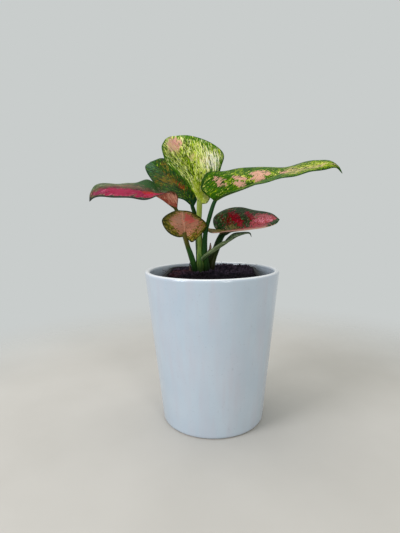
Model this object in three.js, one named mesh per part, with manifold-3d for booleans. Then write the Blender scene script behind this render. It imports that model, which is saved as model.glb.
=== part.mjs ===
// Potted Chinese evergreen: a young plant with seven variegated leaves on fleshy stalks round a short cane,
// growing in potting mix in a square black nursery pot, which hangs by the corners of its lip inside a round,
// tapered, glazed planter. Millimetres, +Z up, origin at the middle of the planter's flat underside.
import * as THREE from 'three';
import { mergeVertices } from 'three/addons/utils/BufferGeometryUtils.js';
import Module from 'manifold-3d';

const wasm = await Module();
wasm.setup();

// ---- driving dimensions -------------------------------------------------------------------------------

const GAP = 0.3; // clear space between neighbouring pieces

// planter: slip-cast, straight taper, no lip overhang
const PLANTER_HEIGHT = 143;
const PLANTER_RIM_RADIUS = 62.5;
const PLANTER_BASE_RADIUS = 47.8;
const PLANTER_WALL = 4.6;
const PLANTER_FLOOR = 6;
const PLANTER_FOOT_ROUND = 2.5;
const PLANTER_INNER_ROUND = 8;
const PLANTER_SIDES = 48;

// nursery pot: square, thin-walled, with a turned-down lip and drain holes
const POT_TURN = THREE.MathUtils.degToRad(-3);
const POT_TOP = 140;
const POT_HEIGHT = 88;
const POT_LIP_DEPTH = 4;
const POT_LIP_WIDTH = 2.2;
const POT_WALL = 1.2;
const POT_CORNER_RADIUS = 13;
const POT_LIP_INNER_CORNER = 12;
const POT_BASE_SHARE = 0.74; // width at the base over width at the lip
const DRAIN_RADIUS = 4;
const DRAIN_SPREAD = 16;

// potting mix
const MIX_TOP = 137;
const MIX_UNEVEN = 0.7;
const MIX_SIDES = 40;
const MIX_RINGS = 5;

// cane and roots
const CANE_AT = new THREE.Vector2(-9, 6);
const CANE_RADIUS = 3.4;
const CANE_TOP = 152;
const CANE_FOOT = 104;
const CANE_TAPER = 0.8; // radius at the top over radius at the foot
const ROOT_COUNT = 7;
const ROOT_RADIUS = 1.1;
const ROOT_REACH = 22;
const ROOT_DROP = 32;
const ROOT_SPACING = 2.5; // how much higher each root starts than the one before

// leaves and their stalks
const LEAF_THICK = 0.7;
const LEAF_END = 0.6; // half the width left where the blade meets its stalk, and at its tip
const LEAF_STEPS = 20;
const LEAF_STRIPS = 6;
const STALK_FOOT = 138.4;
const STALK_SIDES = 8;
const STALK_STEPS = 10;

// A leaf is drawn by three lines from its base to its tip: its rib, and its left and right edges as seen from
// its upper side with the tip ahead. The edges start and end by the rib, and their first points lie behind the
// base where the leaf has lobes. arch is how far each half rises between rib and edge, over its width.
// around is the side of the cane that the stalk grows on, in degrees from +X, and radius is the stalk's at its
// foot and its top.
const LEAVES = {
  top: {
    rib: [
      [-10, 8, 203.5], [-11.5, 9, 213], [-14.5, 10, 224.5], [-19, 12, 235.5], [-24.5, 15, 246.5],
      [-30.5, 19, 257], [-36, 25, 265.5], [-39, 31, 270],
    ],
    left: [
      [-14.5, 5, 211], [-21.5, 0, 220.5], [-31.5, -5, 230.5], [-40, -6, 240.5], [-44, -3, 252.5], [-42.5, 9, 262],
    ],
    right: [[-3, 12, 205], [3.5, 17, 220], [10.5, 18, 238], [13, 17, 250], [1, 18, 261.5], [-20, 23, 269]],
    arch: [0.06, 0.07],
    around: -111, stalk: [[-11, 0.8, 156], [-11, 6, 174.5], [-11, 8.5, 194.5]], radius: [2.1, 1.8],
  },
  long_right: {
    rib: [
      [2.5, 2, 206.5], [12, 1, 211.5], [29.5, 0, 217.5], [47.5, -2, 224], [64, -4, 229.5], [79.5, -6, 232.5],
      [92.5, -8, 235], [104.5, -9, 237], [112, -10, 235], [116, -11, 228],
    ],
    left: [
      [-9, 3, 217.5], [-4, 7, 231.5], [16.5, 13, 235], [43, 18, 238.5], [66.5, 17, 237], [82.5, 12, 240],
      [97, 4, 242], [107.5, -5, 240],
    ],
    right: [
      [5, -7, 208.5], [16, -17, 212], [33.5, -24, 217], [52, -26, 221.5], [70, -25, 225], [85, -22, 228.5],
      [98.5, -17, 231], [109.5, -13, 232.5],
    ],
    arch: [0.05, 0.05],
    around: -20, stalk: [[-5.2, 2.4, 148], [-6.5, 0.8, 158], [-5.6, 1, 177.5], [-1.5, 1, 192]],
    radius: [2.3, 2.1],
  },
  back: {
    rib: [
      [-16.5, 14, 200.5], [-20.5, 19, 209], [-28.5, 26, 218.5], [-38, 35, 228.5], [-47.5, 46, 238.5],
      [-56.5, 57, 246.5], [-63, 66, 251],
    ],
    left: [[-25.5, 11, 207.5], [-37, 16, 212], [-49.5, 25, 218], [-59.5, 37, 230.5], [-66.5, 51, 243.5]],
    right: [[-12, 20, 212], [-17.5, 30, 228], [-28, 40, 241], [-38.5, 49, 249.5], [-51.5, 59, 253.5]],
    arch: [0.07, 0.07],
    around: 110, stalk: [[-12.5, 13, 158], [-13.5, 14, 181], [-15, 14, 193]], radius: [2, 1.7],
  },
  left: {
    rib: [
      [-31, 1, 200.5], [-36.5, 0, 203.5], [-44, -3, 209], [-52.5, -8, 213.5], [-64, -13, 217],
      [-77.5, -16, 218.3], [-89, -18, 218.5], [-99, -20, 216.5], [-104, -21, 212], [-105.5, -22, 206],
    ],
    left: [
      [-30.5, -4, 211.5], [-36.5, -9, 215], [-45, -17, 211], [-55.5, -25, 207], [-69, -30, 208],
      [-83, -31, 209], [-94.5, -29, 209.5], [-101, -26, 208.5],
    ],
    right: [
      [-35.5, 11, 214], [-47.5, 17, 218.5], [-59.5, 18, 227.5], [-72, 11, 224.5], [-83.5, 6, 223],
      [-95.5, 2, 223.5], [-104.5, -5, 221], [-107, -13, 214],
    ],
    arch: [0.05, 0.05],
    around: 157.5, stalk: [[-19.5, 5, 154], [-25.5, 1, 176], [-29.5, 0.5, 192]], radius: [2, 1.6],
  },
  front: {
    rib: [
      [-23.5, -6, 174], [-23.5, -11, 179.5], [-23.5, -18, 184.5], [-24, -26, 189], [-24, -34, 192.5],
      [-24, -42, 195.5], [-24, -48, 197],
    ],
    left: [[-18, -12, 169.2], [-10.5, -10, 175], [-4, -16, 183.5], [-9.5, -28, 190.5], [-17, -39, 196]],
    right: [[-31, -5, 173.5], [-39.5, -9, 178.5], [-44, -17, 187], [-40.5, -28, 193], [-31.5, -39, 197]],
    arch: [0.08, 0.08],
    around: -157, stalk: [[-19, -0.5, 156.5], [-23.5, -1.5, 166.5]], radius: [2, 1.3],
  },
  low_right: {
    rib: [
      [9.5, 9, 175.5], [13, 7.5, 176.5], [19.5, 5, 178], [29.5, 1.5, 180], [40, -4, 182.5], [50, -10, 185.5],
      [56, -15, 188], [59.5, -19, 188.5],
    ],
    left: [[3, 12, 182.5], [3, 15, 191], [13, 19, 198.5], [29, 21, 200.5], [44.5, 16, 197.5], [56, 2, 194]],
    right: [
      [1.5, 8.5, 179.5], [-5.5, 7.5, 181], [-0.5, 1, 177], [15, -9, 178], [31, -18, 180], [46, -24, 181.5],
      [55.5, -23.5, 185],
    ],
    arch: [0.07, 0.04],
    around: 35, stalk: [[-1.2, 9.5, 151], [5.5, 9, 168]], radius: [3.2, 2.6],
  },
  young: {
    rib: [
      [10.5, -4, 165.5], [17, -7, 169.5], [23, -10, 173.5], [28, -12, 175.5], [32, -14, 176.5],
      [34, -15.5, 176], [35, -17, 173.5],
    ],
    left: [[13.5, -8, 172], [19, -12, 176.5], [25, -15, 177.5], [30, -16.5, 178], [33.5, -17, 177.5]],
    right: [[15.5, -2, 171.5], [21, -4, 176], [26.5, -8, 177], [31, -12, 178], [34, -15, 177]],
    arch: [-0.2, -0.2],
    around: -66, stalk: [[-6.4, -2.6, 146], [-3, -4.4, 152], [4, -4.8, 160]], radius: [1.8, 1.5],
  },
};

// Papery dead sheaths left at the foot of the plant: axis points from foot to tip.
const SHEATHS = {
  right: { axis: [[-2.5, 3, 154], [-1.3, 3, 158.5], [-1.5, 2.6, 163.5]], width: 4, thick: 0.6 },
  left: { axis: [[-19.6, 3.5, 137.6], [-20.6, 3, 143], [-21, 2.4, 149]], width: 4, thick: 0.6 },
};
const SHEATH_CUP = 1.2;

// ---- small helpers ------------------------------------------------------------------------------------

const vector = ([x, y, z]) => new THREE.Vector3(x, y, z);

// A closed geometry as a solid that can be joined or cut.
function solidOf(geometry) {
  const bare = geometry.clone();
  bare.deleteAttribute('normal');
  bare.deleteAttribute('uv');
  const merged = mergeVertices(bare, 1e-4);
  return new wasm.Manifold(new wasm.Mesh({
    numProp: 3,
    vertProperties: merged.attributes.position.array,
    triVerts: new Uint32Array(merged.index.array),
  }));
}

function geometryOf(solid) {
  const mesh = solid.getMesh();
  const geometry = new THREE.BufferGeometry();
  geometry.setAttribute('position', new THREE.BufferAttribute(mesh.vertProperties, 3));
  geometry.setIndex(new THREE.BufferAttribute(mesh.triVerts, 1));
  geometry.computeVertexNormals();
  return geometry;
}

// Moves every vertex of a geometry to place(x, y, z).
function reshape(geometry, place) {
  const position = geometry.attributes.position;
  const at = new THREE.Vector3();
  for (let i = 0; i < position.count; i++) {
    at.fromBufferAttribute(position, i);
    const moved = place(at.x, at.y, at.z);
    position.setXYZ(i, moved.x, moved.y, moved.z);
  }
  geometry.computeVertexNormals();
  return geometry;
}

// A round rod along a smooth curve, its radius going evenly from the first value to the second.
function rod(points, [footRadius, tipRadius], sides, steps) {
  const curve = new THREE.CatmullRomCurve3(points);
  const frames = curve.computeFrenetFrames(steps);
  return reshape(new THREE.CylinderGeometry(1, 1, 1, sides, steps), (x, y, z) => {
    const s = y + 0.5;
    const i = Math.round(s * steps);
    const radius = THREE.MathUtils.lerp(footRadius, tipRadius, s);
    return curve.getPointAt(s)
      .addScaledVector(frames.normals[i], x * radius)
      .addScaledVector(frames.binormals[i], -z * radius);
  });
}

function roundedSquare(half, corner) {
  const shape = new THREE.Shape();
  const inner = half - corner;
  for (let quarter = 0; quarter < 4; quarter++) {
    const turn = quarter * Math.PI / 2;
    const centre = new THREE.Vector2(inner, inner).rotateAround(new THREE.Vector2(), turn);
    shape.absarc(centre.x, centre.y, corner, turn, turn + Math.PI / 2, false);
  }
  return shape;
}

// ---- planter ------------------------------------------------------------------------------------------

const planterRadiusAt = (z) => PLANTER_BASE_RADIUS
  + (PLANTER_RIM_RADIUS - PLANTER_BASE_RADIUS) * z / PLANTER_HEIGHT;
const planterInnerRadiusAt = (z) => planterRadiusAt(z) - PLANTER_WALL;

function planterGeometry() {
  const lip = PLANTER_WALL / 2;
  const lipHeight = PLANTER_HEIGHT - lip;
  const lipMiddle = planterRadiusAt(lipHeight) - lip;
  const foot = PLANTER_FOOT_ROUND;
  const innerRound = PLANTER_INNER_ROUND;
  const innerFoot = planterInnerRadiusAt(PLANTER_FLOOR + innerRound);
  const outline = new THREE.Path();
  outline.moveTo(0, 0);
  outline.lineTo(PLANTER_BASE_RADIUS - foot, 0);
  outline.quadraticCurveTo(PLANTER_BASE_RADIUS, 0, planterRadiusAt(foot), foot);
  outline.lineTo(planterRadiusAt(lipHeight), lipHeight);
  outline.absarc(lipMiddle, lipHeight, lip, 0, Math.PI, false);
  outline.lineTo(innerFoot, PLANTER_FLOOR + innerRound);
  outline.quadraticCurveTo(innerFoot - 1, PLANTER_FLOOR, innerFoot - innerRound, PLANTER_FLOOR);
  outline.lineTo(0, PLANTER_FLOOR);
  return new THREE.LatheGeometry(outline.getPoints(5), PLANTER_SIDES).rotateX(Math.PI / 2);
}

// ---- nursery pot and potting mix ----------------------------------------------------------------------

const POT_BOTTOM = POT_TOP - POT_HEIGHT;
const POT_LIP_BOTTOM = POT_TOP - POT_LIP_DEPTH;

// The lip's corners meet the planter's tapered wall at the lip's lower edge, and the pot hangs there.
const POT_LIP_HALF = (planterInnerRadiusAt(POT_LIP_BOTTOM) - GAP - POT_CORNER_RADIUS) / Math.SQRT2
  + POT_CORNER_RADIUS;
const potHalfAt = (z) => (POT_LIP_HALF - POT_LIP_WIDTH)
  * THREE.MathUtils.lerp(POT_BASE_SHARE, 1, (z - POT_BOTTOM) / POT_HEIGHT);

// A block with the pot's rounded square section, tapering with the pot, inset evenly from its outer face.
function taperedBlock(inset, low, high) {
  const half = potHalfAt(POT_TOP) - inset;
  const block = new THREE.ExtrudeGeometry(roundedSquare(half, POT_CORNER_RADIUS - inset), {
    depth: high - low, bevelEnabled: false, curveSegments: 6,
  });
  return reshape(block, (x, y, z) => {
    const share = (potHalfAt(low + z) - inset) / half;
    return new THREE.Vector3(x * share, y * share, low + z);
  });
}

function nurseryPotGeometry() {
  const lipShape = roundedSquare(POT_LIP_HALF, POT_CORNER_RADIUS);
  lipShape.holes.push(roundedSquare(potHalfAt(POT_LIP_BOTTOM) - POT_WALL / 2, POT_LIP_INNER_CORNER));
  const lip = new THREE.ExtrudeGeometry(lipShape, {
    depth: POT_LIP_DEPTH, bevelEnabled: false, curveSegments: 6,
  });
  let pot = solidOf(taperedBlock(0, POT_BOTTOM, POT_TOP))
    .add(solidOf(lip.translate(0, 0, POT_LIP_BOTTOM)))
    .subtract(solidOf(taperedBlock(POT_WALL, POT_BOTTOM + POT_WALL, POT_TOP + 1)));
  const drain = new THREE.CylinderGeometry(DRAIN_RADIUS, DRAIN_RADIUS, POT_WALL * 4, 16).rotateX(Math.PI / 2);
  for (const [x, y] of [[0, 0], [1, 1], [1, -1], [-1, 1], [-1, -1]]) {
    pot = pot.subtract(solidOf(drain.clone().translate(x * DRAIN_SPREAD, y * DRAIN_SPREAD, POT_BOTTOM)));
  }
  return geometryOf(pot).rotateZ(POT_TURN);
}

// Distance from the middle of a rounded square to its outline, in the direction of angle.
function squareReach(angle, half, corner) {
  const x = Math.abs(Math.cos(angle));
  const y = Math.abs(Math.sin(angle));
  const inner = half - corner;
  const flat = half / Math.max(x, y);
  if (Math.min(x, y) * flat <= inner) return flat;
  const middle = inner * (x + y);
  return middle + Math.sqrt(middle * middle - 2 * inner * inner + corner * corner);
}

const mixHeight = (x, y) => MIX_TOP
  + MIX_UNEVEN * (Math.sin(x * 0.31 + 1) * Math.cos(y * 0.27) + 0.6 * Math.sin(x * 0.13 - y * 0.19));

function mixBlock() {
  const inset = POT_WALL + GAP;
  const floor = POT_BOTTOM + POT_WALL + GAP;
  const outline = [new THREE.Vector2(0, 0), new THREE.Vector2(1, 0)];
  for (let ring = MIX_RINGS; ring >= 0; ring--) {
    outline.push(new THREE.Vector2(ring / MIX_RINGS, 1));
  }
  return reshape(new THREE.LatheGeometry(outline, MIX_SIDES).rotateX(Math.PI / 2), (x, y, level) => {
    const angle = Math.atan2(y, x);
    const high = level > 0.5;
    const half = potHalfAt(high ? MIX_TOP : floor) - inset;
    const reach = Math.hypot(x, y) * squareReach(angle, half, POT_CORNER_RADIUS - inset);
    const moved = new THREE.Vector3(reach * Math.cos(angle), reach * Math.sin(angle), floor);
    if (high) moved.z = mixHeight(moved.x, moved.y);
    return moved;
  });
}

// ---- cane and roots -----------------------------------------------------------------------------------

// The cane with its roots, grown outwards by extra.
function caneSolid(extra) {
  const caneLine = [CANE_FOOT - extra, (CANE_FOOT + CANE_TOP) / 2, CANE_TOP + extra]
    .map((z) => new THREE.Vector3(CANE_AT.x, CANE_AT.y, z));
  let solid = solidOf(rod(caneLine, [CANE_RADIUS + extra, CANE_RADIUS * CANE_TAPER + extra], 14, 8));
  for (let k = 0; k < ROOT_COUNT; k++) {
    const angle = 2 * Math.PI * (k + 0.3) / ROOT_COUNT;
    const top = CANE_FOOT + 4 + ROOT_SPACING * k;
    const reach = ROOT_REACH - 1.5 * (k % 3);
    const longer = extra / ROOT_DROP;
    const line = [[0, 0], [0.5, 0.25], [0.85, 0.6], [1, 1 + longer]].map(([out, down], step) => new THREE.Vector3(
      CANE_AT.x + out * reach * Math.cos(angle + 0.12 * step),
      CANE_AT.y + out * reach * Math.sin(angle + 0.12 * step),
      top - down * ROOT_DROP,
    ));
    solid = solid.add(solidOf(rod(line, [ROOT_RADIUS + extra, ROOT_RADIUS * 0.6 + extra], 6, 9)));
  }
  return solid;
}

function mixGeometry() {
  const block = mixBlock().rotateZ(POT_TURN);
  return geometryOf(solidOf(block).subtract(caneSolid(GAP)));
}

// ---- leaves, stalks and sheaths -----------------------------------------------------------------------

// The edge of a leaf on one side, from its base round its lobe to its tip.
function leafEdge(leaf, side) {
  const points = leaf[side].map(vector);
  const base = vector(leaf.rib[0]);
  const tip = vector(leaf.rib.at(-1));
  const start = points[0].clone().sub(base).setLength(LEAF_END).add(base);
  const end = points.at(-1).clone().sub(tip).setLength(LEAF_END).add(tip);
  return new THREE.CatmullRomCurve3([start, ...points, end]);
}

// A function that gives the point of a leaf's middle surface at share s from base to tip and v from -1 at the
// left edge to 1 at the right edge.
function leafSurface(leaf) {
  const rib = new THREE.CatmullRomCurve3(leaf.rib.map(vector));
  const left = leafEdge(leaf, 'left');
  const right = leafEdge(leaf, 'right');
  return (s, v) => {
    const from = rib.getPoint(s);
    const to = (v < 0 ? left : right).getPoint(s);
    const across = to.clone().sub(from);
    const rise = across.length() * leaf.arch[v < 0 ? 0 : 1];
    const up = across.cross(rib.getTangent(s)).setLength(v < 0 ? -rise : rise);
    const control = from.clone().lerp(to, 0.5).add(up);
    return new THREE.QuadraticBezierCurve3(from, control, to).getPoint(Math.abs(v));
  };
}

function leafGeometry(leaf) {
  const surface = leafSurface(leaf);
  const nudge = 1e-3;
  const sheet = new THREE.BoxGeometry(1, 1, 1, LEAF_STEPS, LEAF_STRIPS, 1);
  return reshape(sheet, (x, y, z) => {
    const s = x + 0.5;
    const v = -2 * y;
    const middle = surface(s, v);
    const ahead = surface(Math.min(s + nudge, 1), v).sub(surface(Math.max(s - nudge, 0), v));
    const across = surface(s, Math.min(v + nudge, 1)).sub(surface(s, Math.max(v - nudge, -1)));
    const out = across.cross(ahead).normalize();
    return middle.addScaledVector(out, z * LEAF_THICK);
  });
}

function stalkGeometry(leaf) {
  const angle = THREE.MathUtils.degToRad(leaf.around);
  const ring = CANE_RADIUS + GAP + leaf.radius[0];
  const foot = new THREE.Vector3(
    CANE_AT.x + ring * Math.cos(angle), CANE_AT.y + ring * Math.sin(angle), STALK_FOOT);
  const bends = leaf.stalk.map(vector);
  const end = vector(leaf.rib[0]);
  const back = bends.at(-1).clone().sub(end).normalize();
  const tip = end.addScaledVector(back, GAP + leaf.radius[1] / 3);
  return rod([foot, ...bends, tip], leaf.radius, STALK_SIDES, STALK_STEPS);
}

function sheathGeometry({ axis, width, thick }) {
  const curve = new THREE.CatmullRomCurve3(axis.map(vector));
  return reshape(new THREE.BoxGeometry(1, 1, 1, 8, 4, 1), (x, y, z) => {
    const s = x + 0.5;
    const half = Math.max(width / 2 * (1 - s) ** 0.6, 0.3);
    const cup = SHEATH_CUP * (2 * y) ** 2;
    return curve.getPointAt(s).add(new THREE.Vector3(2 * y * half, z * thick + cup, 0));
  });
}

// ---- the finished object ------------------------------------------------------------------------------

const plant = new THREE.Group();

function finish(color, roughness) {
  return new THREE.MeshStandardMaterial({ color, roughness, metalness: 0 });
}

function addPiece(name, geometry, material) {
  const piece = new THREE.Mesh(geometry, material);
  piece.name = name;
  plant.add(piece);
}

const glaze = finish(0xbfc9d6, 0.15);
const blackPlastic = finish(0x1b1d20, 0.5);
const mix = finish(0x33241f, 0.95);
const cane = finish(0x6b6a3a, 0.6);
const stalkGreen = finish(0x2f5a22, 0.4);
const paperyBrown = finish(0xa08468, 0.8);
const LEAF_COLOURS = {
  top: 0xc3cf6a, long_right: 0x7a9a3c, back: 0x2f5a38, left: 0xb03a5c, front: 0xc47a5c, low_right: 0xb04058,
  young: 0x6d8468,
};

addPiece('planter', planterGeometry(), glaze);
addPiece('nursery_pot', nurseryPotGeometry(), blackPlastic);
addPiece('potting_mix', mixGeometry(), mix);
addPiece('cane_and_roots', geometryOf(caneSolid(0)), cane);
for (const [name, leaf] of Object.entries(LEAVES)) {
  addPiece('leaf_' + name, leafGeometry(leaf), finish(LEAF_COLOURS[name], 0.35));
  addPiece('stalk_' + name, stalkGeometry(leaf), stalkGreen);
}
for (const [name, sheath] of Object.entries(SHEATHS)) {
  addPiece('dry_sheath_' + name, sheathGeometry(sheath), paperyBrown);
}

export default plant;
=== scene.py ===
"""A potted Chinese evergreen: seven variegated leaves on fleshy stalks round a short cane, in coir
potting mix, in a square black nursery pot that hangs inside a round glazed planter.

Shapes are worked out in millimetres, in the CAD's frame, and become metres in object_from().
"""
import math
from collections import namedtuple

import bmesh
import bpy
import numpy as np
from mathutils import Matrix, Vector, noise


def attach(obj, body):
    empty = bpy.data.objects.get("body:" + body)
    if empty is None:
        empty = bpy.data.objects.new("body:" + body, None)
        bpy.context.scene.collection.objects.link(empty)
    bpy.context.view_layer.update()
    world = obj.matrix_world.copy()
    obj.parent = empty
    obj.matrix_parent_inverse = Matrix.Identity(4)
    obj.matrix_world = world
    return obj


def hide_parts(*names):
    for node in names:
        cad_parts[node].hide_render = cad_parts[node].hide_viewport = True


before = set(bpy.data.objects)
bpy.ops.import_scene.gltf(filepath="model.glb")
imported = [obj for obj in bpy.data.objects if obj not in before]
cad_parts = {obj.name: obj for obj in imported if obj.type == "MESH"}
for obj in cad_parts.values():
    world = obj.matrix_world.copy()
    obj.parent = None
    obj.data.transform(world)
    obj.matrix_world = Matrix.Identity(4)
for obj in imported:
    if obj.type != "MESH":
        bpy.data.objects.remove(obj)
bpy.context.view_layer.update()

MM = 0.001
scene = bpy.context.scene

# ---- sizes, as in the CAD ------------------------------------------------------------------------

PLANTER_HEIGHT = 143
PLANTER_RIM_RADIUS = 62.5
PLANTER_BASE_RADIUS = 47.8
PLANTER_WALL = 4.6
PLANTER_FLOOR = 6
PLANTER_FOOT_ROUND = 3.2
FOOT_RING = (39.5, 43.5)  # inner radius of the ring at the recess and at the ground
FOOT_RECESS = 1.4

POT_TURN = math.radians(-3)
POT_TOP = 140
POT_HEIGHT = 88
POT_BOTTOM = POT_TOP - POT_HEIGHT
POT_LIP_DEPTH = 4
POT_LIP_WIDTH = 2.2
POT_LIP_HALF = 44.03
POT_WALL = 1.2
POT_CORNER = 13
POT_BASE_SHARE = 0.74  # its width at the bottom, as a share of its width under the lip
DRAIN_RADIUS = 4
DRAIN_SPREAD = 16  # how far the four outer holes are from the middle, each way

MIX_TOP = 137
MIX_INSET = POT_WALL + 0.3
MIX_MOUND = 4.2  # how much higher the mix lies at the plant's foot, and along the back of the pot
MIX_BANK = 3.6
MIX_LUMP_SIZE = 5
MIX_LUMP_HEIGHT = 1.1
MIX_EDGE_DROP = 0.8  # how far the top falls off where it meets the pot

CANE_AT = (-9, 6)
CANE_RADIUS = 3.4
CANE_FOOT = 104
CANE_TOP = 152
ROOT_COUNT = 7
ROOT_REACH = 22
ROOT_DROP = 32
ROOT_RADIUS = 1.1
SCAR_SPACING = 5
SCAR_HEIGHT = 0.35

STALK_FOOT = 138.4
STALK_SUNK = 2  # how far below the CAD's foot it starts, down in the mix
STALK_UNDER_LEAF = ((1.5, 0.9), (6, 0.75), (12, 0.2))  # how far along the midrib, and how far below it
STALK_TAPER = 11  # the length under the blade in which the stalk thins into the midrib
STALK_GROOVE = 0.32  # depth of its groove, as a share of its radius
STALK_CLASP = 0.45  # how much wider it is where it clasps the cane, as a share of its radius
SHEATH_THICK = 0.6
SHEATH_CUP = 1.2  # how far its edges stand back from its middle

LEAF_THICK = 0.7
LEAF_END = 0.6  # half the width left where the blade meets its stalk, and at its tip
LEAF_STEPS = 150
LEAF_STRIPS = 42
VEIN_PITCH = 4.5
QUILT_HEIGHT = 0.07  # of the tissue between two side veins
GROOVE_DEPTH = 0.22  # of the groove over the midrib, at the leaf's base
GROOVE_WIDTH = 0.9
RIM_THINNING = 1.4  # how far in from the rim the blade reaches its full thickness
RIM_WAVE_HEIGHT = 0.45
RIM_WAVE_LENGTH = 23
RIM_WAVE_SHIFT = 0.13  # how far each half's waves are moved, one half's up and the other's down the leaf

# Each leaf: its midrib and its two edges from base to tip, how far each half bows out between them as a
# share of its width, the side of the cane its stalk grows from in degrees, the stalk's bends, and its
# radius at foot and top. The blades are the CAD's. The front, low right and young stalks bend up to 3 mm
# away from the CAD's rods.
LEAVES = {
    "top": dict(
        rib=[(-10, 8, 203.5), (-11.5, 9, 213), (-14.5, 10, 224.5), (-19, 12, 235.5), (-24.5, 15, 246.5),
             (-30.5, 19, 257), (-36, 25, 265.5), (-39, 31, 270)],
        left=[(-14.5, 5, 211), (-21.5, 0, 220.5), (-31.5, -5, 230.5), (-40, -6, 240.5), (-44, -3, 252.5),
              (-42.5, 9, 262)],
        right=[(-3, 12, 205), (3.5, 17, 220), (10.5, 18, 238), (13, 17, 250), (1, 18, 261.5),
               (-20, 23, 269)],
        arch=(0.06, 0.07), around=-111, stalk=[(-11, 0.8, 156), (-11, 6, 174.5), (-11, 8.5, 194.5)],
        radius=(2.1, 1.8)),
    "long_right": dict(
        rib=[(2.5, 2, 206.5), (12, 1, 211.5), (29.5, 0, 217.5), (47.5, -2, 224), (64, -4, 229.5),
             (79.5, -6, 232.5), (92.5, -8, 235), (104.5, -9, 237), (112, -10, 235), (116, -11, 228)],
        left=[(-9, 3, 217.5), (-4, 7, 231.5), (16.5, 13, 235), (43, 18, 238.5), (66.5, 17, 237),
              (82.5, 12, 240), (97, 4, 242), (107.5, -5, 240)],
        right=[(5, -7, 208.5), (16, -17, 212), (33.5, -24, 217), (52, -26, 221.5), (70, -25, 225),
               (85, -22, 228.5), (98.5, -17, 231), (109.5, -13, 232.5)],
        arch=(0.05, 0.05), around=-20,
        stalk=[(-5.2, 2.4, 148), (-6.5, 0.8, 158), (-5.6, 1, 177.5), (-1.5, 1, 192)], radius=(2.3, 2.1)),
    "back": dict(
        rib=[(-16.5, 14, 200.5), (-20.5, 19, 209), (-28.5, 26, 218.5), (-38, 35, 228.5), (-47.5, 46, 238.5),
             (-56.5, 57, 246.5), (-63, 66, 251)],
        left=[(-25.5, 11, 207.5), (-37, 16, 212), (-49.5, 25, 218), (-59.5, 37, 230.5), (-66.5, 51, 243.5)],
        right=[(-12, 20, 212), (-17.5, 30, 228), (-28, 40, 241), (-38.5, 49, 249.5), (-51.5, 59, 253.5)],
        arch=(0.07, 0.07), around=110, stalk=[(-12.5, 13, 158), (-13.5, 14, 181), (-15, 14, 193)],
        radius=(2, 1.7)),
    "left": dict(
        rib=[(-31, 1, 200.5), (-36.5, 0, 203.5), (-44, -3, 209), (-52.5, -8, 213.5), (-64, -13, 217),
             (-77.5, -16, 218.3), (-89, -18, 218.5), (-99, -20, 216.5), (-104, -21, 212),
             (-105.5, -22, 206)],
        left=[(-30.5, -4, 211.5), (-36.5, -9, 215), (-45, -17, 211), (-55.5, -25, 207), (-69, -30, 208),
              (-83, -31, 209), (-94.5, -29, 209.5), (-101, -26, 208.5)],
        right=[(-35.5, 11, 214), (-47.5, 17, 218.5), (-59.5, 18, 227.5), (-72, 11, 224.5), (-83.5, 6, 223),
               (-95.5, 2, 223.5), (-104.5, -5, 221), (-107, -13, 214)],
        arch=(0.05, 0.05), around=157.5, stalk=[(-19.5, 5, 154), (-25.5, 1, 176), (-29.5, 0.5, 192)],
        radius=(2, 1.6)),
    "front": dict(
        rib=[(-23.5, -6, 174), (-23.5, -11, 179.5), (-23.5, -18, 184.5), (-24, -26, 189), (-24, -34, 192.5),
             (-24, -42, 195.5), (-24, -48, 197)],
        left=[(-18, -12, 169.2), (-10.5, -10, 175), (-4, -16, 183.5), (-9.5, -28, 190.5), (-17, -39, 196)],
        right=[(-31, -5, 173.5), (-39.5, -9, 178.5), (-44, -17, 187), (-40.5, -28, 193), (-31.5, -39, 197)],
        arch=(0.08, 0.08), around=-157, stalk=[(-18.8, -0.5, 156.5), (-21.6, -1.5, 164)],
        radius=(2, 1.3)),
    "low_right": dict(
        rib=[(9.5, 9, 175.5), (13, 7.5, 176.5), (19.5, 5, 178), (29.5, 1.5, 180), (40, -4, 182.5),
             (50, -10, 185.5), (56, -15, 188), (59.5, -19, 188.5)],
        left=[(3, 12, 182.5), (3, 15, 191), (13, 19, 198.5), (29, 21, 200.5), (44.5, 16, 197.5),
              (56, 2, 194)],
        right=[(1.5, 8.5, 179.5), (-5.5, 7.5, 181), (-0.5, 1, 177), (15, -9, 178), (31, -18, 180),
               (46, -24, 181.5), (55.5, -23.5, 185)],
        arch=(0.07, 0.04), around=35,
        stalk=[(-1.1, 9.3, 147), (1, 9.4, 153), (4.9, 9.2, 162), (7.3, 9, 168.5)],
        radius=(3.2, 2.6)),
    "young": dict(
        rib=[(10.5, -4, 165.5), (17, -7, 169.5), (23, -10, 173.5), (28, -12, 175.5), (32, -14, 176.5),
             (34, -15.5, 176), (35, -17, 173.5)],
        left=[(13.5, -8, 172), (19, -12, 176.5), (25, -15, 177.5), (30, -16.5, 178), (33.5, -17, 177.5)],
        right=[(15.5, -2, 171.5), (21, -4, 176), (26.5, -8, 177), (31, -12, 178), (34, -15, 177)],
        arch=(-0.2, -0.2), around=-90,
        stalk=[(-9.6, 0.8, 149), (-8.4, -1.6, 153), (-4.2, -3.6, 157), (1.6, -4.6, 161), (6.5, -4.4, 164)],
        radius=(1.8, 1.5)),
}

# Old leaf sheaths that have dried: the line each follows, and its width. They lie up to 3 mm from the CAD's.
SHEATHS = {
    "right": ([(-3.2, 2, 156), (-1.2, 2.4, 161.5), (-0.8, 2.4, 167.5)], 4),
    "left": ([(-18.6, 3.5, 137.6), (-20.2, 3, 143), (-20.6, 2.4, 149)], 2.6),
}


# ---- helpers for shapes --------------------------------------------------------------------------

def unit(vectors):
    return vectors / np.maximum(np.linalg.norm(vectors, axis=-1, keepdims=True), 1e-9)


def smooth(value, low, high):
    """0 below low, 1 above high, and an even S-curve between them."""
    share = np.clip((np.asarray(value, float) - low) / (high - low), 0, 1)
    return share * share * (3 - 2 * share)


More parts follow.
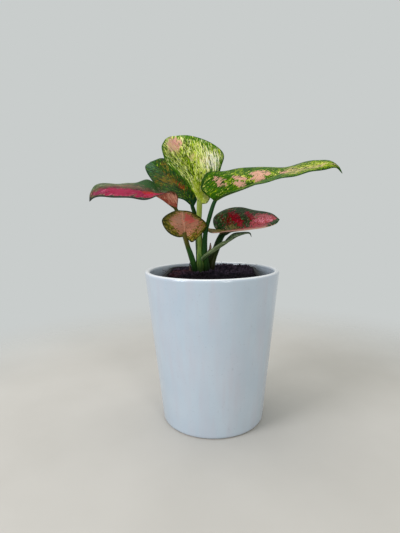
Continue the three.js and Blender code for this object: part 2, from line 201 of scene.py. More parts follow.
def curve_at(points, shares):
    """Points of the smooth curve through the given ones: a centripetal Catmull-Rom curve, as the CAD's."""
    points = np.asarray(points, float)
    padded = np.vstack([2 * points[0] - points[1], points, 2 * points[-1] - points[-2]])
    place = np.clip(np.asarray(shares, float), 0, 1) * (len(points) - 1)
    first = np.minimum(place.astype(int), len(points) - 2)
    share = (place - first)[:, None]
    before, start, end, after = (padded[first + k] for k in range(4))
    steps = [np.maximum(np.sum((b - a) ** 2, 1, keepdims=True) ** 0.25, 1e-4)
             for a, b in ((before, start), (start, end), (end, after))]
    leave = ((start - before) / steps[0] - (end - before) / (steps[0] + steps[1])
             + (end - start) / steps[1]) * steps[1]
    arrive = ((end - start) / steps[1] - (after - start) / (steps[1] + steps[2])
              + (after - end) / steps[2]) * steps[1]
    return (start + leave * share + (3 * (end - start) - 2 * leave - arrive) * share ** 2
            + (2 * (start - end) + leave + arrive) * share ** 3)


def far_along(line):
    """How far along a line of points each of them lies."""
    return np.concatenate([[0], np.cumsum(np.linalg.norm(np.diff(line, axis=0), axis=1))])


def even_curve(points, count):
    """count points at even distances along the smooth curve through the given ones."""
    fine = curve_at(points, np.linspace(0, 1, 40 * len(points)))
    far = far_along(fine)
    wanted = np.linspace(0, far[-1], count)
    return np.stack([np.interp(wanted, far, fine[:, k]) for k in range(3)], 1)


def bowed(start, control, end, share):
    """A point of the quadratic curve from start to end that is pulled towards control."""
    return (1 - share) ** 2 * start + 2 * share * (1 - share) * control + share ** 2 * end


def lumps_at(points, size, octaves, seed):
    """Noise from about -1 to 1 at each point, whose largest lumps are about size millimetres."""
    shift = Vector((seed * 17.3, seed * 5.1, seed * 9.7))
    return np.array([noise.fractal(Vector(p) / size + shift, 0.9, 2.1, octaves) for p in points])


def linked(name, data):
    """An object of this mesh, light or camera, in the scene."""
    made = bpy.data.objects.new(name, data)
    scene.collection.objects.link(made)
    return made


def object_from(name, points, edges, faces, **attributes):
    """An object from points in millimetres. An attribute has one value or vector per point."""
    mesh = bpy.data.meshes.new(name)
    mesh.from_pydata((np.asarray(points, float) * MM).tolist(), edges, faces)
    for label, values in attributes.items():
        values = np.asarray(values, np.float32)
        kind, field = ("FLOAT_VECTOR", "vector") if values.ndim == 2 else ("FLOAT", "value")
        mesh.attributes.new(label, kind, "POINT").data.foreach_set(field, values.ravel())
    return linked(name, mesh)


def solid_from(name, points, faces, material, **attributes):
    """A smooth-shaded closed object, with its faces outwards."""
    made = object_from(name, points, [], faces, **attributes)
    shell = bmesh.new()
    shell.from_mesh(made.data)
    bmesh.ops.recalc_face_normals(shell, faces=shell.faces)
    shell.to_mesh(made.data)
    shell.free()
    made.data.shade_smooth()
    made.data.materials.append(material)
    return made


def path_from(name, lines, **attributes):
    """An object of open lines of points, for a tree to follow."""
    edges, start = [], 0
    for line in lines:
        edges += [(start + k, start + k + 1) for k in range(len(line) - 1)]
        start += len(line)
    return object_from(name, np.vstack(lines), edges, [], **attributes)


def lofted(name, rings, material):
    """A closed object through rings of points. The first and the last ring are closed to their middles."""
    rings = np.asarray(rings, float)
    count, sides = rings.shape[:2]
    points = np.vstack([rings.reshape(-1, 3), rings[0].mean(0), rings[-1].mean(0)])
    steps = [(side, (side + 1) % sides) for side in range(sides)]
    faces = [(row + a, row + b, row + sides + b, row + sides + a)
             for row in range(0, (count - 1) * sides, sides) for a, b in steps]
    for centre, row in ((count * sides, 0), (count * sides + 1, (count - 1) * sides)):
        faces += [(centre, row + a, row + b) for a, b in steps]
    return solid_from(name, points, faces, material)


def plain_mesh(made):
    """Turns what an object's modifiers make into its plain mesh."""
    graph = bpy.context.evaluated_depsgraph_get()
    mesh = bpy.data.meshes.new_from_object(made.evaluated_get(graph), depsgraph=graph)
    made.modifiers.clear()
    made.data = mesh
    return made


def thin_blade(name, middle, upper, half_thick, under_extra, material, **attributes):
    """A leaf or flap from a grid of middle points, with the direction of its upper side and half its
    thickness there. Its two sheets share the points of the rim. under_extra thickens the lower sheet
    only."""
    rows, columns = middle.shape[:2]
    top = middle + upper * half_thick[..., None]
    bottom = middle - upper * (half_thick + under_extra)[..., None]
    rim = np.zeros((rows, columns), bool)
    rim[[0, -1]] = True
    rim[:, [0, -1]] = True
    top[rim] = middle[rim]
    number = np.arange(rows * columns).reshape(rows, columns)
    under = np.full((rows, columns), -1)
    under[~rim] = rows * columns + np.arange((~rim).sum())
    under[rim] = number[rim]
    points = np.vstack([top.reshape(-1, 3), bottom[~rim]])
    faces = []
    for grid, turned in ((number, False), (under, True)):
        quads = np.stack([grid[:-1, :-1], grid[:-1, 1:], grid[1:, 1:], grid[1:, :-1]], -1).reshape(-1, 4)
        faces += (quads[:, ::-1] if turned else quads).tolist()
    both = {}
    for label, values in attributes.items():
        over = np.concatenate([values, np.zeros((rows, columns, 1))], -1)
        below = np.concatenate([values, np.ones((rows, columns, 1))], -1)
        both[label] = np.vstack([over.reshape(-1, 3), below[~rim]])
    return solid_from(name, points, faces, material, **both)


# ---- helpers for nodes ---------------------------------------------------------------------------

def linear(hex_colour):
    """A colour written as sRGB hex, as linear red, green, blue and alpha."""
    parts = [int(hex_colour[k:k + 2], 16) / 255 for k in (1, 3, 5)]
    return (*(c / 12.92 if c <= 0.04045 else ((c + 0.055) / 1.055) ** 2.4 for c in parts), 1.0)


def add(tree, kind, inputs=None, out=0, **settings):
    """Adds a node with its settings, and links or sets its inputs. Gives its output out, or the node
    where that is None."""
    node = tree.nodes.new(kind)
    for name, value in settings.items():
        setattr(node, name, value)
    for key, value in (inputs or {}).items():
        if isinstance(value, bpy.types.NodeSocket):
            tree.links.new(value, node.inputs[key])
        else:
            node.inputs[key].default_value = value
    return node if out is None else node.outputs[out]


def new_material(name, **surface):
    """A Principled material, with its node tree and shader. surface holds the constants of the shader."""
    material = bpy.data.materials.new(name)
    material.use_nodes = True
    shader = material.node_tree.nodes["Principled BSDF"]
    for socket, value in surface.items():
        shader.inputs[socket.replace("_", " ")].default_value = value
    return material, material.node_tree, shader


def connect(tree, shader, **sources):
    for socket, source in sources.items():
        tree.links.new(source, shader.inputs[socket.replace("_", " ")])


def new_tree(name, sockets):
    """A Geometry Nodes tree with named inputs, each (name, type, value), and one geometry output."""
    tree = bpy.data.node_groups.new(name, "GeometryNodeTree")
    tree.interface.new_socket("Result", in_out="OUTPUT", socket_type="NodeSocketGeometry")
    for label, kind, value in sockets:
        socket = tree.interface.new_socket(label, in_out="INPUT", socket_type="NodeSocket" + kind)
        if value is not None:
            socket.default_value = value
    return tree, add(tree, "NodeGroupInput", out=None).outputs


def close_tree(tree, geometry, skin):
    """Ends a tree in Realize Instances, smooth shading and Set Material."""
    geometry = add(tree, "GeometryNodeRealizeInstances", {"Geometry": geometry})
    geometry = add(tree, "GeometryNodeSetShadeSmooth", {"Geometry": geometry})
    geometry = add(tree, "GeometryNodeSetMaterial", {"Geometry": geometry, "Material": skin})
    add(tree, "NodeGroupOutput", {0: geometry}, out=None)


def grown(made, tree, **inputs):
    """Runs a Geometry Nodes tree on an object and leaves the result as its plain mesh."""
    modifier = made.modifiers.new(tree.name, "NODES")
    modifier.node_group = tree
    names = {s.name: s.identifier for s in tree.interface.items_tree if s.in_out == "INPUT"}
    for label, value in inputs.items():
        modifier[names[label.replace("_", " ")]] = value
    return plain_mesh(made)


# ---- leaf finishes -------------------------------------------------------------------------------

# One colour of a variegated leaf, over on its upper side and under on its underside. grain is the size of a
# fleck across and along the side veins, in millimetres; where the veins lean, a fleck is narrower and
# longer than that by sqrt(1 + lean ** 2). cover, from about -0.6 for none to 0.3 for all, is how much of
# the leaf it takes, soft how blurred its edge is, and patchy how much the cover changes from place to
# place. rim and rib, each (width, strength), bring it out along the margin and the midrib. So does a spot
# (place along, place across, reach along, reach across, strength), in shares of the leaf from base to tip
# and from midrib to edge, or with a strength below 0 it keeps the colour off.
Layer = namedtuple("Layer", "over under grain cover seed soft patchy rim rib spots",
                   defaults=(0.1, 0.5, None, None, ()))


def wandering(tree, place, veins, per_mm, reach):
    """A leaf's places, pushed aside by noise with per_mm waves a millimetre, so that no outline is
    straight."""
    drift = add(tree, "ShaderNodeTexNoise", {
        "Vector": veins, "Scale": per_mm, "Detail": 3.0, "Roughness": 0.6}, out="Color")
    for operation, by in (("SUBTRACT", (0.5, 0.5, 0.5)), ("MULTIPLY", reach), ("ADD", place)):
        drift = add(tree, "ShaderNodeVectorMath", {0: drift, 1: by}, operation=operation)
    return drift


def fleck_mask(tree, place, veins, margin, side_way, layer):
    """Where one colour of a variegated leaf lies, from 0 to 1: noise drawn out along the veins, raised
    or lowered by its spots, along the margin and along the midrib, and cut off at a half."""
    shift = layer.seed
    flecks = add(tree, "ShaderNodeMapping", {
        "Vector": veins, "Location": (shift * 7.31, shift * 3.17, shift),
        "Scale": (1 / layer.grain[0], 1 / layer.grain[1], 0)})
    flecks = add(tree, "ShaderNodeTexNoise", {
        "Vector": flecks, "Scale": 1.0, "Detail": 3.0, "Roughness": 0.62})
    flecks = add(tree, "ShaderNodeMapRange", {
        "Value": flecks, "From Min": 0.28, "From Max": 0.72}, clamp=False)
    # Thicker and thinner in patches of 11 by 15 mm.
    patches = add(tree, "ShaderNodeMapping", {
        "Vector": veins, "Location": (shift * 2.71, shift * 5.39, shift), "Scale": (1 / 11, 1 / 15, 0)})
    patches = add(tree, "ShaderNodeTexNoise", {"Vector": patches, "Scale": 1.0, "Detail": 1.0})
    least, most = layer.cover - layer.patchy / 2, layer.cover + layer.patchy / 2
    raised = [add(tree, "ShaderNodeMapRange", {"Value": patches, "To Min": least, "To Max": most})]
    for s, v, reach_s, reach_v, strength in layer.spots:
        near = add(tree, "ShaderNodeMapping", {
            "Vector": place, "Location": (-s / reach_s, -v / reach_v, 0),
            "Scale": (1 / reach_s, 1 / reach_v, 0)})
        near = add(tree, "ShaderNodeVectorMath", {0: near}, out="Value", operation="LENGTH")
        raised.append(add(tree, "ShaderNodeMapRange", {
            "Value": near, "From Min": 0.3, "From Max": 1.0, "To Min": strength, "To Max": 0.0},
            interpolation_type="SMOOTHSTEP"))
    for source, near in ((margin, layer.rim), (side_way, layer.rib)):
        if near:
            raised.append(add(tree, "ShaderNodeMapRange", {
                "Value": source, "From Min": 0.0, "From Max": near[0], "To Min": near[1], "To Max": 0.0}))
    for height in raised:
        flecks = add(tree, "ShaderNodeMath", {0: flecks, 1: height}, operation="ADD")
    return add(tree, "ShaderNodeMapRange", {
        "Value": flecks, "From Min": 0.5 - layer.soft, "From Max": 0.5 + layer.soft},
        interpolation_type="SMOOTHSTEP")


def leaf_material(name, look):
    """Living leaf skin: a thin waxy cuticle over coloured tissue. The eye sees flecks and patches that
    run along the side veins, a darker margin, a soft shine, and light glowing through where the tissue
    has no green."""
    material, tree, shader = new_material(
        "variegated_leaf_" + name, Specular_IOR_Level=0.09, IOR=1.45,
        Subsurface_Weight=look.get("glow", 0.12), Subsurface_Radius=(1.0, 0.8, 0.35),
        Subsurface_Scale=0.0008)
    place, veins, edge = (add(tree, "ShaderNodeAttribute", attribute_name=label, out="Vector")
                          for label in ("leaf_place", "leaf_veins", "leaf_edge"))
    under = add(tree, "ShaderNodeSeparateXYZ", {0: place}, out="Z")
    margin = add(tree, "ShaderNodeSeparateXYZ", {0: edge}, out="X")
    vein_parts = add(tree, "ShaderNodeSeparateXYZ", {0: veins}, out=None).outputs
    side_way = add(tree, "ShaderNodeMath", {0: vein_parts[1]}, operation="ABSOLUTE")

    over, below = (linear(ground) for ground in look["ground"])
    flecks = wandering(tree, veins, veins, 0.17, (9, 9, 0))
    patches = wandering(tree, place, veins, 0.28, look.get("ragged", (0.16, 0.9, 0)))
    for layer in look["layers"]:
        mask = fleck_mask(tree, patches, flecks, margin, side_way, layer)
        over, below = (
            add(tree, "ShaderNodeMix", {0: mask, 6: tissue, 7: linear(tone)}, out=2, data_type="RGBA")
            for tissue, tone in ((over, layer.over), (below, layer.under)))
    colour = add(tree, "ShaderNodeMix", {0: under, 6: over, 7: below}, out=2, data_type="RGBA")

    # Side veins, a little lighter than the tissue between them.
    turn = add(tree, "ShaderNodeMath", {0: vein_parts[0], 1: 2 * math.pi / VEIN_PITCH}, operation="MULTIPLY")
    wave = add(tree, "ShaderNodeMath", {0: turn}, operation="SINE")
    vein = add(tree, "ShaderNodeMapRange", {"Value": wave, "From Min": 0.55, "From Max": 1.0},
               interpolation_type="SMOOTHSTEP")
    # Cell-scale grain of about 0.6 mm, and slow changes of tone over 15 mm.
    grain = add(tree, "ShaderNodeTexNoise", {"Vector": veins, "Scale": 1.7, "Detail": 3.0, "Roughness": 0.7})
    slow = add(tree, "ShaderNodeTexNoise", {"Vector": veins, "Scale": 0.07, "Detail": 1.0})
    for pattern, low, high, darkest, lightest in (
            (grain, 0.25, 0.75, 0.87, 1.13), (slow, 0.3, 0.7, 0.9, 1.1),
            (vein, 0.0, 1.0, 1.0, look.get("vein_tone", 1.06))):
        tone = add(tree, "ShaderNodeMapRange", {
            "Value": pattern, "From Min": low, "From Max": high, "To Min": darkest, "To Max": lightest})
        colour = add(tree, "ShaderNodeVectorMath", {0: colour, 1: tone}, operation="MULTIPLY")
    # The tissue is deeper in colour than the leaf looks, as the wax over it adds a pale sheen.
    colour = add(tree, "ShaderNodeHueSaturation", {"Saturation": 1.12, "Value": 0.86, "Color": colour})

    shine = add(tree, "ShaderNodeMapRange", {
        "Value": grain, "From Min": 0.3, "From Max": 0.7,
        "To Min": look["rough"] - 0.05, "To Max": look["rough"] + 0.08})
    height = add(tree, "ShaderNodeMath", {0: vein, 1: grain}, operation="SUBTRACT")
    bump = add(tree, "ShaderNodeBump", {"Strength": 0.35, "Distance": 0.00025, "Height": height})
    connect(tree, shader, Base_Color=colour, Roughness=shine, Normal=bump)
    return material


# How each leaf is coloured: the ground of its upper side and underside, how far its side veins lean and
# bend towards the tip, its roughness, and its layers from the lowest to the one on top. Some also say how
# much light glows through, how much paler the side veins are, or how ragged the outlines of patches are.
LEAF_LOOKS = {
    # Cream leaf with olive flecks that fan out from its base, a lime base and one pink patch near the tip.
    "top": dict(ground=("#bfd05e", "#b9c48a"), lean=2.2, bend=0.012, glow=0.2, rough=0.42, layers=[
        Layer("#eef2aa", "#cfd4a8", grain=(5, 1.7), cover=0.0, seed=2, spots=[
            (0.5, 0.66, 0.16, 0.36, 0.3), (0.4, -0.55, 0.25, 0.3, 0.12), (0.12, 0, 0.25, 0.6, -0.3)]),
        Layer("#fbfbe2", "#cfd4a8", grain=(4.6, 1.7), cover=-0.34, soft=0.12, seed=8, spots=[
            (0.5, 0.7, 0.16, 0.3, 0.5), (0.68, 0.75, 0.1, 0.3, 0.2), (0.12, 0, 0.25, 2, -0.3)]),
        Layer("#83a222", "#9fb060", grain=(4.4, 2.2), cover=-0.14, soft=0.12, seed=1, spots=[
            (0.5, 0.06, 0.34, 0.12, 0.4), (0.5, 0.66, 0.16, 0.36, -0.3)]),
        Layer("#d6a797", "#c99e88", grain=(4, 2.4), cover=-0.5, soft=0.15, seed=3, spots=[
            (0.76, -0.3, 0.19, 0.66, 0.7), (0.87, 0.12, 0.16, 0.45, 0.55)]),
        Layer("#cdbb8a", "#c0b088", grain=(3.6, 2), cover=-0.5, soft=0.15, seed=7, spots=[
            (0.58, 0.2, 0.09, 0.14, 0.6), (0.53, 0.45, 0.08, 0.16, 0.5), (0.66, -0.45, 0.12, 0.4, 0.3)]),
        Layer("#3b520a", "#6b8446", grain=(3.6, 1.2), cover=-0.04, soft=0.1, seed=4, spots=[
            (0.76, -0.3, 0.16, 0.5, -0.4), (0.88, 0.12, 0.13, 0.35, -0.3), (0.5, 0.68, 0.14, 0.3, -0.12),
            (0.58, 0.2, 0.09, 0.11, -0.35), (0.08, 0, 0.25, 2, -0.42), (0.55, 0.08, 0.3, 0.1, 0.1),
            (0.5, -0.5, 0.32, 0.45, 0.06)]),
        Layer("#4c7626", "#6f9244", grain=(5, 1.9), cover=-0.42, soft=0.1, seed=6, rim=(16, 0.46), spots=[
            (0.8, 0.7, 0.25, 0.5, 0.2), (0.4, -0.9, 0.3, 0.3, 0.1), (0.06, 0, 0.3, 2, -0.5)]),
        Layer("#31541a", "#5c8048", grain=(4, 2), cover=-0.5, seed=5, rim=(4, 0.85), spots=[
            (0.06, 0, 0.3, 2, -0.25)]),
    ]),
    # Green leaf with pale flecks, a row of pink patches, and a painted grey sheen along one edge near the
    # tip.
    "long_right": dict(ground=("#38660a", "#5d7d3c"), lean=1.4, bend=0.01, rough=0.38,
                       ragged=(0.04, 0.35, 0), layers=[
        Layer("#93a834", "#8f9f5c", grain=(2.8, 2.9), cover=-0.2, seed=11, spots=[
            (0.68, 0.1, 0.26, 1.2, 0.3), (0.225, -0.35, 0.03, 0.5, 0.25), (0.3, -0.3, 0.035, 0.5, 0.3)]),
        Layer("#d8da7c", "#a9aa78", grain=(2.4, 2.3), cover=-0.3, soft=0.08, seed=15, spots=[
            (0.13, -0.86, 0.08, 0.14, 0.25), (0.66, 0, 0.2, 0.9, 0.2), (0.3, -0.3, 0.04, 0.5, 0.25),
            (0.42, -0.1, 0.1, 0.7, 0.12)]),
        Layer("#d4a795", "#c09078", grain=(3, 3.4), cover=-0.5, soft=0.1, seed=12, spots=[
            (0.185, -0.45, 0.035, 0.24, 0.7), (0.215, -0.64, 0.035, 0.24, 0.7),
            (0.24, -0.18, 0.042, 0.24, 0.75), (0.285, -0.4, 0.04, 0.24, 0.75),
            (0.33, -0.1, 0.05, 0.26, 0.8), (0.385, -0.34, 0.06, 0.28, 0.85), (0.46, 0.08, 0.07, 0.4, 0.6),
            (0.34, 0.4, 0.06, 0.2, 0.4)]),
        Layer("#ccb886", "#b09a78", grain=(3, 3.6), cover=-0.5, soft=0.14, seed=17, spots=[
            (0.54, 0.1, 0.1, 0.9, 0.6), (0.66, 0.2, 0.12, 0.7, 0.5), (0.78, 0.1, 0.12, 0.7, 0.4)]),
        Layer("#24480a", "#48642e", grain=(2.4, 2.4), cover=-0.1, soft=0.08, seed=13, spots=[
            (0.36, -0.22, 0.07, 0.3, -0.25), (0.262, -0.29, 0.05, 0.24, -0.25), (0.75, 0, 0.2, 1, -0.05)]),
        # Painted sheen: grey-green along one edge towards the tip.
        Layer("#6b7760", "#68745c", grain=(3.6, 3.5), cover=-0.5, soft=0.2, seed=16, spots=[
            (0.62, -0.95, 0.22, 0.5, 0.6), (0.88, -0.8, 0.16, 0.6, 0.6)]),
        Layer("#234214", "#4b6a3a", grain=(2.8, 2.8), cover=-0.5, seed=14, rim=(5, 0.85)),
    ]),
    # Dark green leaf mottled with brown and brick red, with a painted bluish sheen towards its tip.
    "back": dict(ground=("#274b0e", "#3f6a48"), lean=1.4, bend=0.01, rough=0.42, vein_tone=1.0, layers=[
        # The first layer is a painted sheen: bluish green at the tip.
        Layer("#457352", "#50785a", grain=(3.6, 3), cover=-0.55, soft=0.3, seed=25, spots=[
            (0.87, -0.6, 0.24, 0.8, 0.75), (0.95, 0.3, 0.2, 0.8, 0.4)]),
        Layer("#0f340a", "#3f6a48", grain=(4, 2.6), cover=-0.04, soft=0.1, seed=21, spots=[
            (0.36, -0.35, 0.15, 0.4, 0.2)]),
        Layer("#6e5a20", "#6a6044", grain=(3.4, 2), cover=-0.28, soft=0.12, seed=23, spots=[
            (0.88, -0.6, 0.26, 0.8, -0.4), (0.51, -0.12, 0.15, 0.4, 0.4), (0.58, -0.55, 0.12, 0.4, 0.3),
            (0.7, 0.5, 0.12, 0.35, 0.3)]),
        Layer("#822e10", "#7a4a3a", grain=(2.8, 1.8), cover=-0.42, soft=0.12, seed=22, spots=[
            (0.36, 0.14, 0.09, 0.35, 0.55), (0.46, 0.24, 0.08, 0.3, 0.3), (0.57, -0.1, 0.12, 0.3, 0.2),
            (0.88, -0.6, 0.26, 0.8, -0.4)]),
        Layer("#928040", "#8a8068", grain=(2, 1.6), cover=-0.42, soft=0.1, seed=26, spots=[
            (0.66, 0.35, 0.12, 0.35, 0.3)]),
        Layer("#88a840", "#6c9060", grain=(2.6, 1.6), cover=-0.3, soft=0.1, seed=27),
        Layer("#12361a", "#3b6344", grain=(3, 3), cover=-0.5, seed=24, rim=(3, 0.8), spots=[
            (0.08, 0, 0.2, 2, 0.5)]),
    ]),
    # Grey-green leaf with one long magenta side, red where it folds.
    "left": dict(ground=("#50623a", "#e4b09a"), lean=1.6, bend=0.01, rough=0.38,
                 ragged=(0.07, 0.45, 0), layers=[
        Layer("#98a283", "#c99a8a", grain=(2.4, 3.4), cover=-0.2, soft=0.12, seed=31),
        Layer("#23301a", "#c6907e", grain=(2.2, 2.4), cover=-0.1, soft=0.1, seed=39, spots=[
            (0.4, 0.4, 0.2, 0.5, 0.15)]),
        Layer("#86604e", "#c6907e", grain=(1.8, 3), cover=-0.3, soft=0.1, seed=41, spots=[
            (0.55, 0.25, 0.4, 0.4, 0.2)]),
        Layer("#5e3a2e", "#9a5a4c", grain=(2.6, 4), cover=-0.5, soft=0.15, seed=35, rib=(7, 0.65)),
        Layer("#1a460c", "#7a6a44", grain=(3, 2.6), cover=-0.5, soft=0.12, seed=36, spots=[
            (0.35, 0.65, 0.15, 0.65, 0.85)]),
        Layer("#94324c", "#d8a090", grain=(3.4, 4.6), cover=-0.6, soft=0.1, seed=32, spots=[
            (0.6, -0.48, 0.36, 0.66, 1.0), (0.16, 0.3, 0.16, 0.7, 0.5)]),
        Layer("#883a54", "#b0746a", grain=(3, 4), cover=-0.6, soft=0.12, seed=38, spots=[
            (0.8, -0.45, 0.15, 0.6, 0.8)]),
        Layer("#a23048", "#b97668", grain=(3, 3.6), cover=-0.6, soft=0.12, seed=40, spots=[
            (0.36, -0.75, 0.14, 0.6, 0.85), (0.27, -0.4, 0.1, 0.8, 0.7)]),
        Layer("#ae2a20", "#b06052", grain=(3, 3), cover=-0.6, soft=0.12, seed=37, spots=[
            (0.38, -0.3, 0.12, 0.45, 0.75)]),
        Layer("#461820", "#a4665a", grain=(1.8, 3.4), cover=-0.26, soft=0.08, seed=30, spots=[
            (0.5, -0.12, 0.25, 0.25, 0.3), (0.5, 0.75, 0.6, 0.6, -0.6), (0.62, -0.4, 0.12, 0.25, -0.2)]),
        Layer("#cf8698", "#dba898", grain=(1.4, 4.4), cover=-0.36, soft=0.1, seed=33, spots=[
            (0.78, -0.35, 0.15, 0.4, 0.16), (0.55, -0.8, 0.3, 0.15, 0.15), (0.5, 0.75, 0.6, 0.6, -0.5)]),
        Layer("#2a2e26", "#6a4a3a", grain=(3, 3), cover=-0.5, seed=34, rim=(3.4, 0.95), spots=[
            (1, 0, 0.12, 2, 0.7), (0.34, -1, 0.12, 0.6, -0.4), (0.62, -1.0, 0.4, 0.2, 0.5),
            (0.55, 1.0, 0.5, 0.14, 0.6)]),
    ]),
    # Small leaf seen from below: coral with a fine midrib and an olive, dark-dotted margin.
    "front": dict(ground=("#b8584a", "#dc9f88"), lean=0.6, bend=0.01, rough=0.5, vein_tone=1.08, layers=[
        Layer("#c8505c", "#ec8680", grain=(2.4, 5), cover=-0.5, soft=0.25, seed=41, spots=[
            (0.66, -0.3, 0.28, 0.4, 0.75), (0.5, -0.15, 0.2, 0.25, 0.35)]),
        Layer("#a4605a", "#d2a28c", grain=(2.4, 4), cover=-0.5, soft=0.25, seed=45, spots=[
            (0.5, 0.25, 0.35, 0.4, 0.65)]),
        Layer("#8a5a24", "#a0683a", grain=(2.4, 4), cover=-0.5, soft=0.25, seed=46, spots=[
            (0.2, -0.8, 0.22, 0.5, 0.65), (0.06, -0.4, 0.14, 0.6, 0.6), (0.42, -0.9, 0.35, 0.35, 0.45)]),
        Layer("#77803c", "#948844", grain=(1.8, 2.6), cover=-0.4, soft=0.14, seed=42, rim=(12, 0.7), spots=[
            (0.5, 0.9, 0.55, 0.5, 0.3)]),
        Layer("#2f4514", "#434a1a", grain=(1.3, 2), cover=-0.3, soft=0.07, seed=43, rim=(12, 0.36), spots=[
            (0.5, 0.9, 0.5, 0.5, 0.1)]),
        Layer("#22340f", "#262e0c", grain=(2, 4), cover=-0.5, seed=44, rim=(2.4, 1.0)),
        Layer("#9c5a50", "#dcb8a0", grain=(1, 8), cover=-0.5, soft=0.3, patchy=0.1, seed=47,
              rib=(0.8, 0.45)),
    ]),
    # Dark green leaf with crimson blotches that turn pink towards the tip.
    "low_right": dict(ground=("#1b3a16", "#8a8064"), lean=0.5, bend=0.01, rough=0.36, vein_tone=1.02,
                      ragged=(0.07, 0.5, 0), layers=[
        Layer("#5f6f50", "#978a70", grain=(2, 3.6), cover=-0.2, soft=0.14, seed=51),
        Layer("#5c2018", "#7a5046", grain=(2, 3.4), cover=-0.45, soft=0.14, seed=55, spots=[
            (0.38, -0.5, 0.16, 0.6, 0.55), (0.4, 0.5, 0.2, 0.4, 0.3)]),
        Layer("#7e1c26", "#8c4a48", grain=(2, 4), cover=-0.5, soft=0.16, seed=52, spots=[
            (0.46, -0.5, 0.075, 0.6, 0.85), (0.6, -0.5, 0.06, 0.35, 0.85)]),
        Layer("#a85a5e", "#a86a68", grain=(2.2, 6), cover=-0.5, soft=0.16, seed=53, spots=[
            (0.78, -0.3, 0.2, 0.6, 1.0), (0.64, 0.05, 0.2, 0.5, 0.95), (0.6, 0.6, 0.3, 0.5, 0.85)]),
        Layer("#dc92a0", "#c08c84", grain=(1, 5), cover=-0.38, soft=0.1, seed=56, spots=[
            (0.74, -0.28, 0.2, 0.45, 0.3)]),
        Layer("#331a1c", "#604a3c", grain=(1.1, 3.4), cover=-0.22, soft=0.12, seed=58, spots=[
            (0.5, -0.5, 0.14, 0.5, 0.12), (0.8, -0.3, 0.2, 0.6, -0.3)]),
        Layer("#6a6038", "#857046", grain=(2, 3.6), cover=-0.5, soft=0.15, seed=57, spots=[
            (0.3, -0.12, 0.18, 0.28, 0.6), (0.32, 0.7, 0.2, 0.6, 0.7)]),
        Layer("#b08a7c", "#b08a7c", grain=(2, 3.6), cover=-0.5, soft=0.15, seed=59, spots=[
            (0.62, 1, 0.34, 0.32, 0.95)]),
        Layer("#3c4d3e", "#5c6050", grain=(2, 4), cover=-0.5, seed=54, rim=(3.2, 0.85), spots=[
            (0.55, 1.0, 0.45, 0.6, -0.9)]),
    ]),
    # The youngest leaf, still half rolled: grey-green with dark edges.
    "young": dict(ground=("#4f6146", "#6d7b62"), lean=0.5, bend=0.01, rough=0.42, layers=[
        Layer("#7c8770", "#a5ad98", grain=(1.0, 10), cover=0.0, soft=0.12, seed=61),
        Layer("#2c4227", "#34482c", grain=(1.0, 8), cover=-0.25, soft=0.1, seed=63),
        Layer("#182c16", "#1b2f18", grain=(1.4, 5), cover=-0.5, seed=62, rim=(2.2, 1.0), spots=[
            (1.0, 0, 0.25, 2, 0.8)]),
    ]),
}


# ---- leaves --------------------------------------------------------------------------------------

def leaf_grid(leaf, shares, widths):
    """Middle points of a leaf at the given shares from base to tip and from the left edge, -1, to the
    right, 1."""
    rib = curve_at(leaf["rib"], shares)
    nudge = 1e-3
    ahead = unit(curve_at(leaf["rib"], shares + nudge) - curve_at(leaf["rib"], shares - nudge))
    grid = np.zeros((len(shares), len(widths), 3))
    reach = np.zeros((len(shares), len(widths)))
    for side, sign, arch in (("left", -1, leaf["arch"][0]), ("right", 1, leaf["arch"][1])):
        points = np.array(leaf[side], float)
        base, tip = np.array(leaf["rib"][0], float), np.array(leaf["rib"][-1], float)
        start = base + LEAF_END * unit(points[0] - base)
        end = tip + LEAF_END * unit(points[-1] - tip)
        edge = curve_at(np.vstack([start, points, end]), shares)
        across = edge - rib
        width = np.linalg.norm(across, axis=1, keepdims=True)
        control = rib + across / 2 + unit(np.cross(across, ahead)) * width * arch * sign
        for column in np.flatnonzero(widths * sign >= 0):
            grid[:, column] = bowed(rib, control, edge, abs(widths[column]))
            reach[:, column] = width[:, 0]
    return grid, reach


def leaf_frame(leaf):
    """A leaf's shares from base to tip and from edge to edge, its middle points and each half's width
    there, the direction of its upper side, and how far along the midrib each share lies."""
    shares = np.linspace(0, 1, LEAF_STEPS + 1)
    half = np.linspace(0, 1, LEAF_STRIPS + 1)
    # Closer together at the midrib and at the margin.
    half = 0.65 * half + 0.35 * half ** 2 * (3 - 2 * half)
    widths = np.concatenate([-half[:0:-1], half])
    grid, reach = leaf_grid(leaf, shares, widths)
    upper = unit(np.cross(np.gradient(grid, axis=1), np.gradient(grid, axis=0)))
    return shares, widths, grid, reach, upper, far_along(grid[:, LEAF_STRIPS])


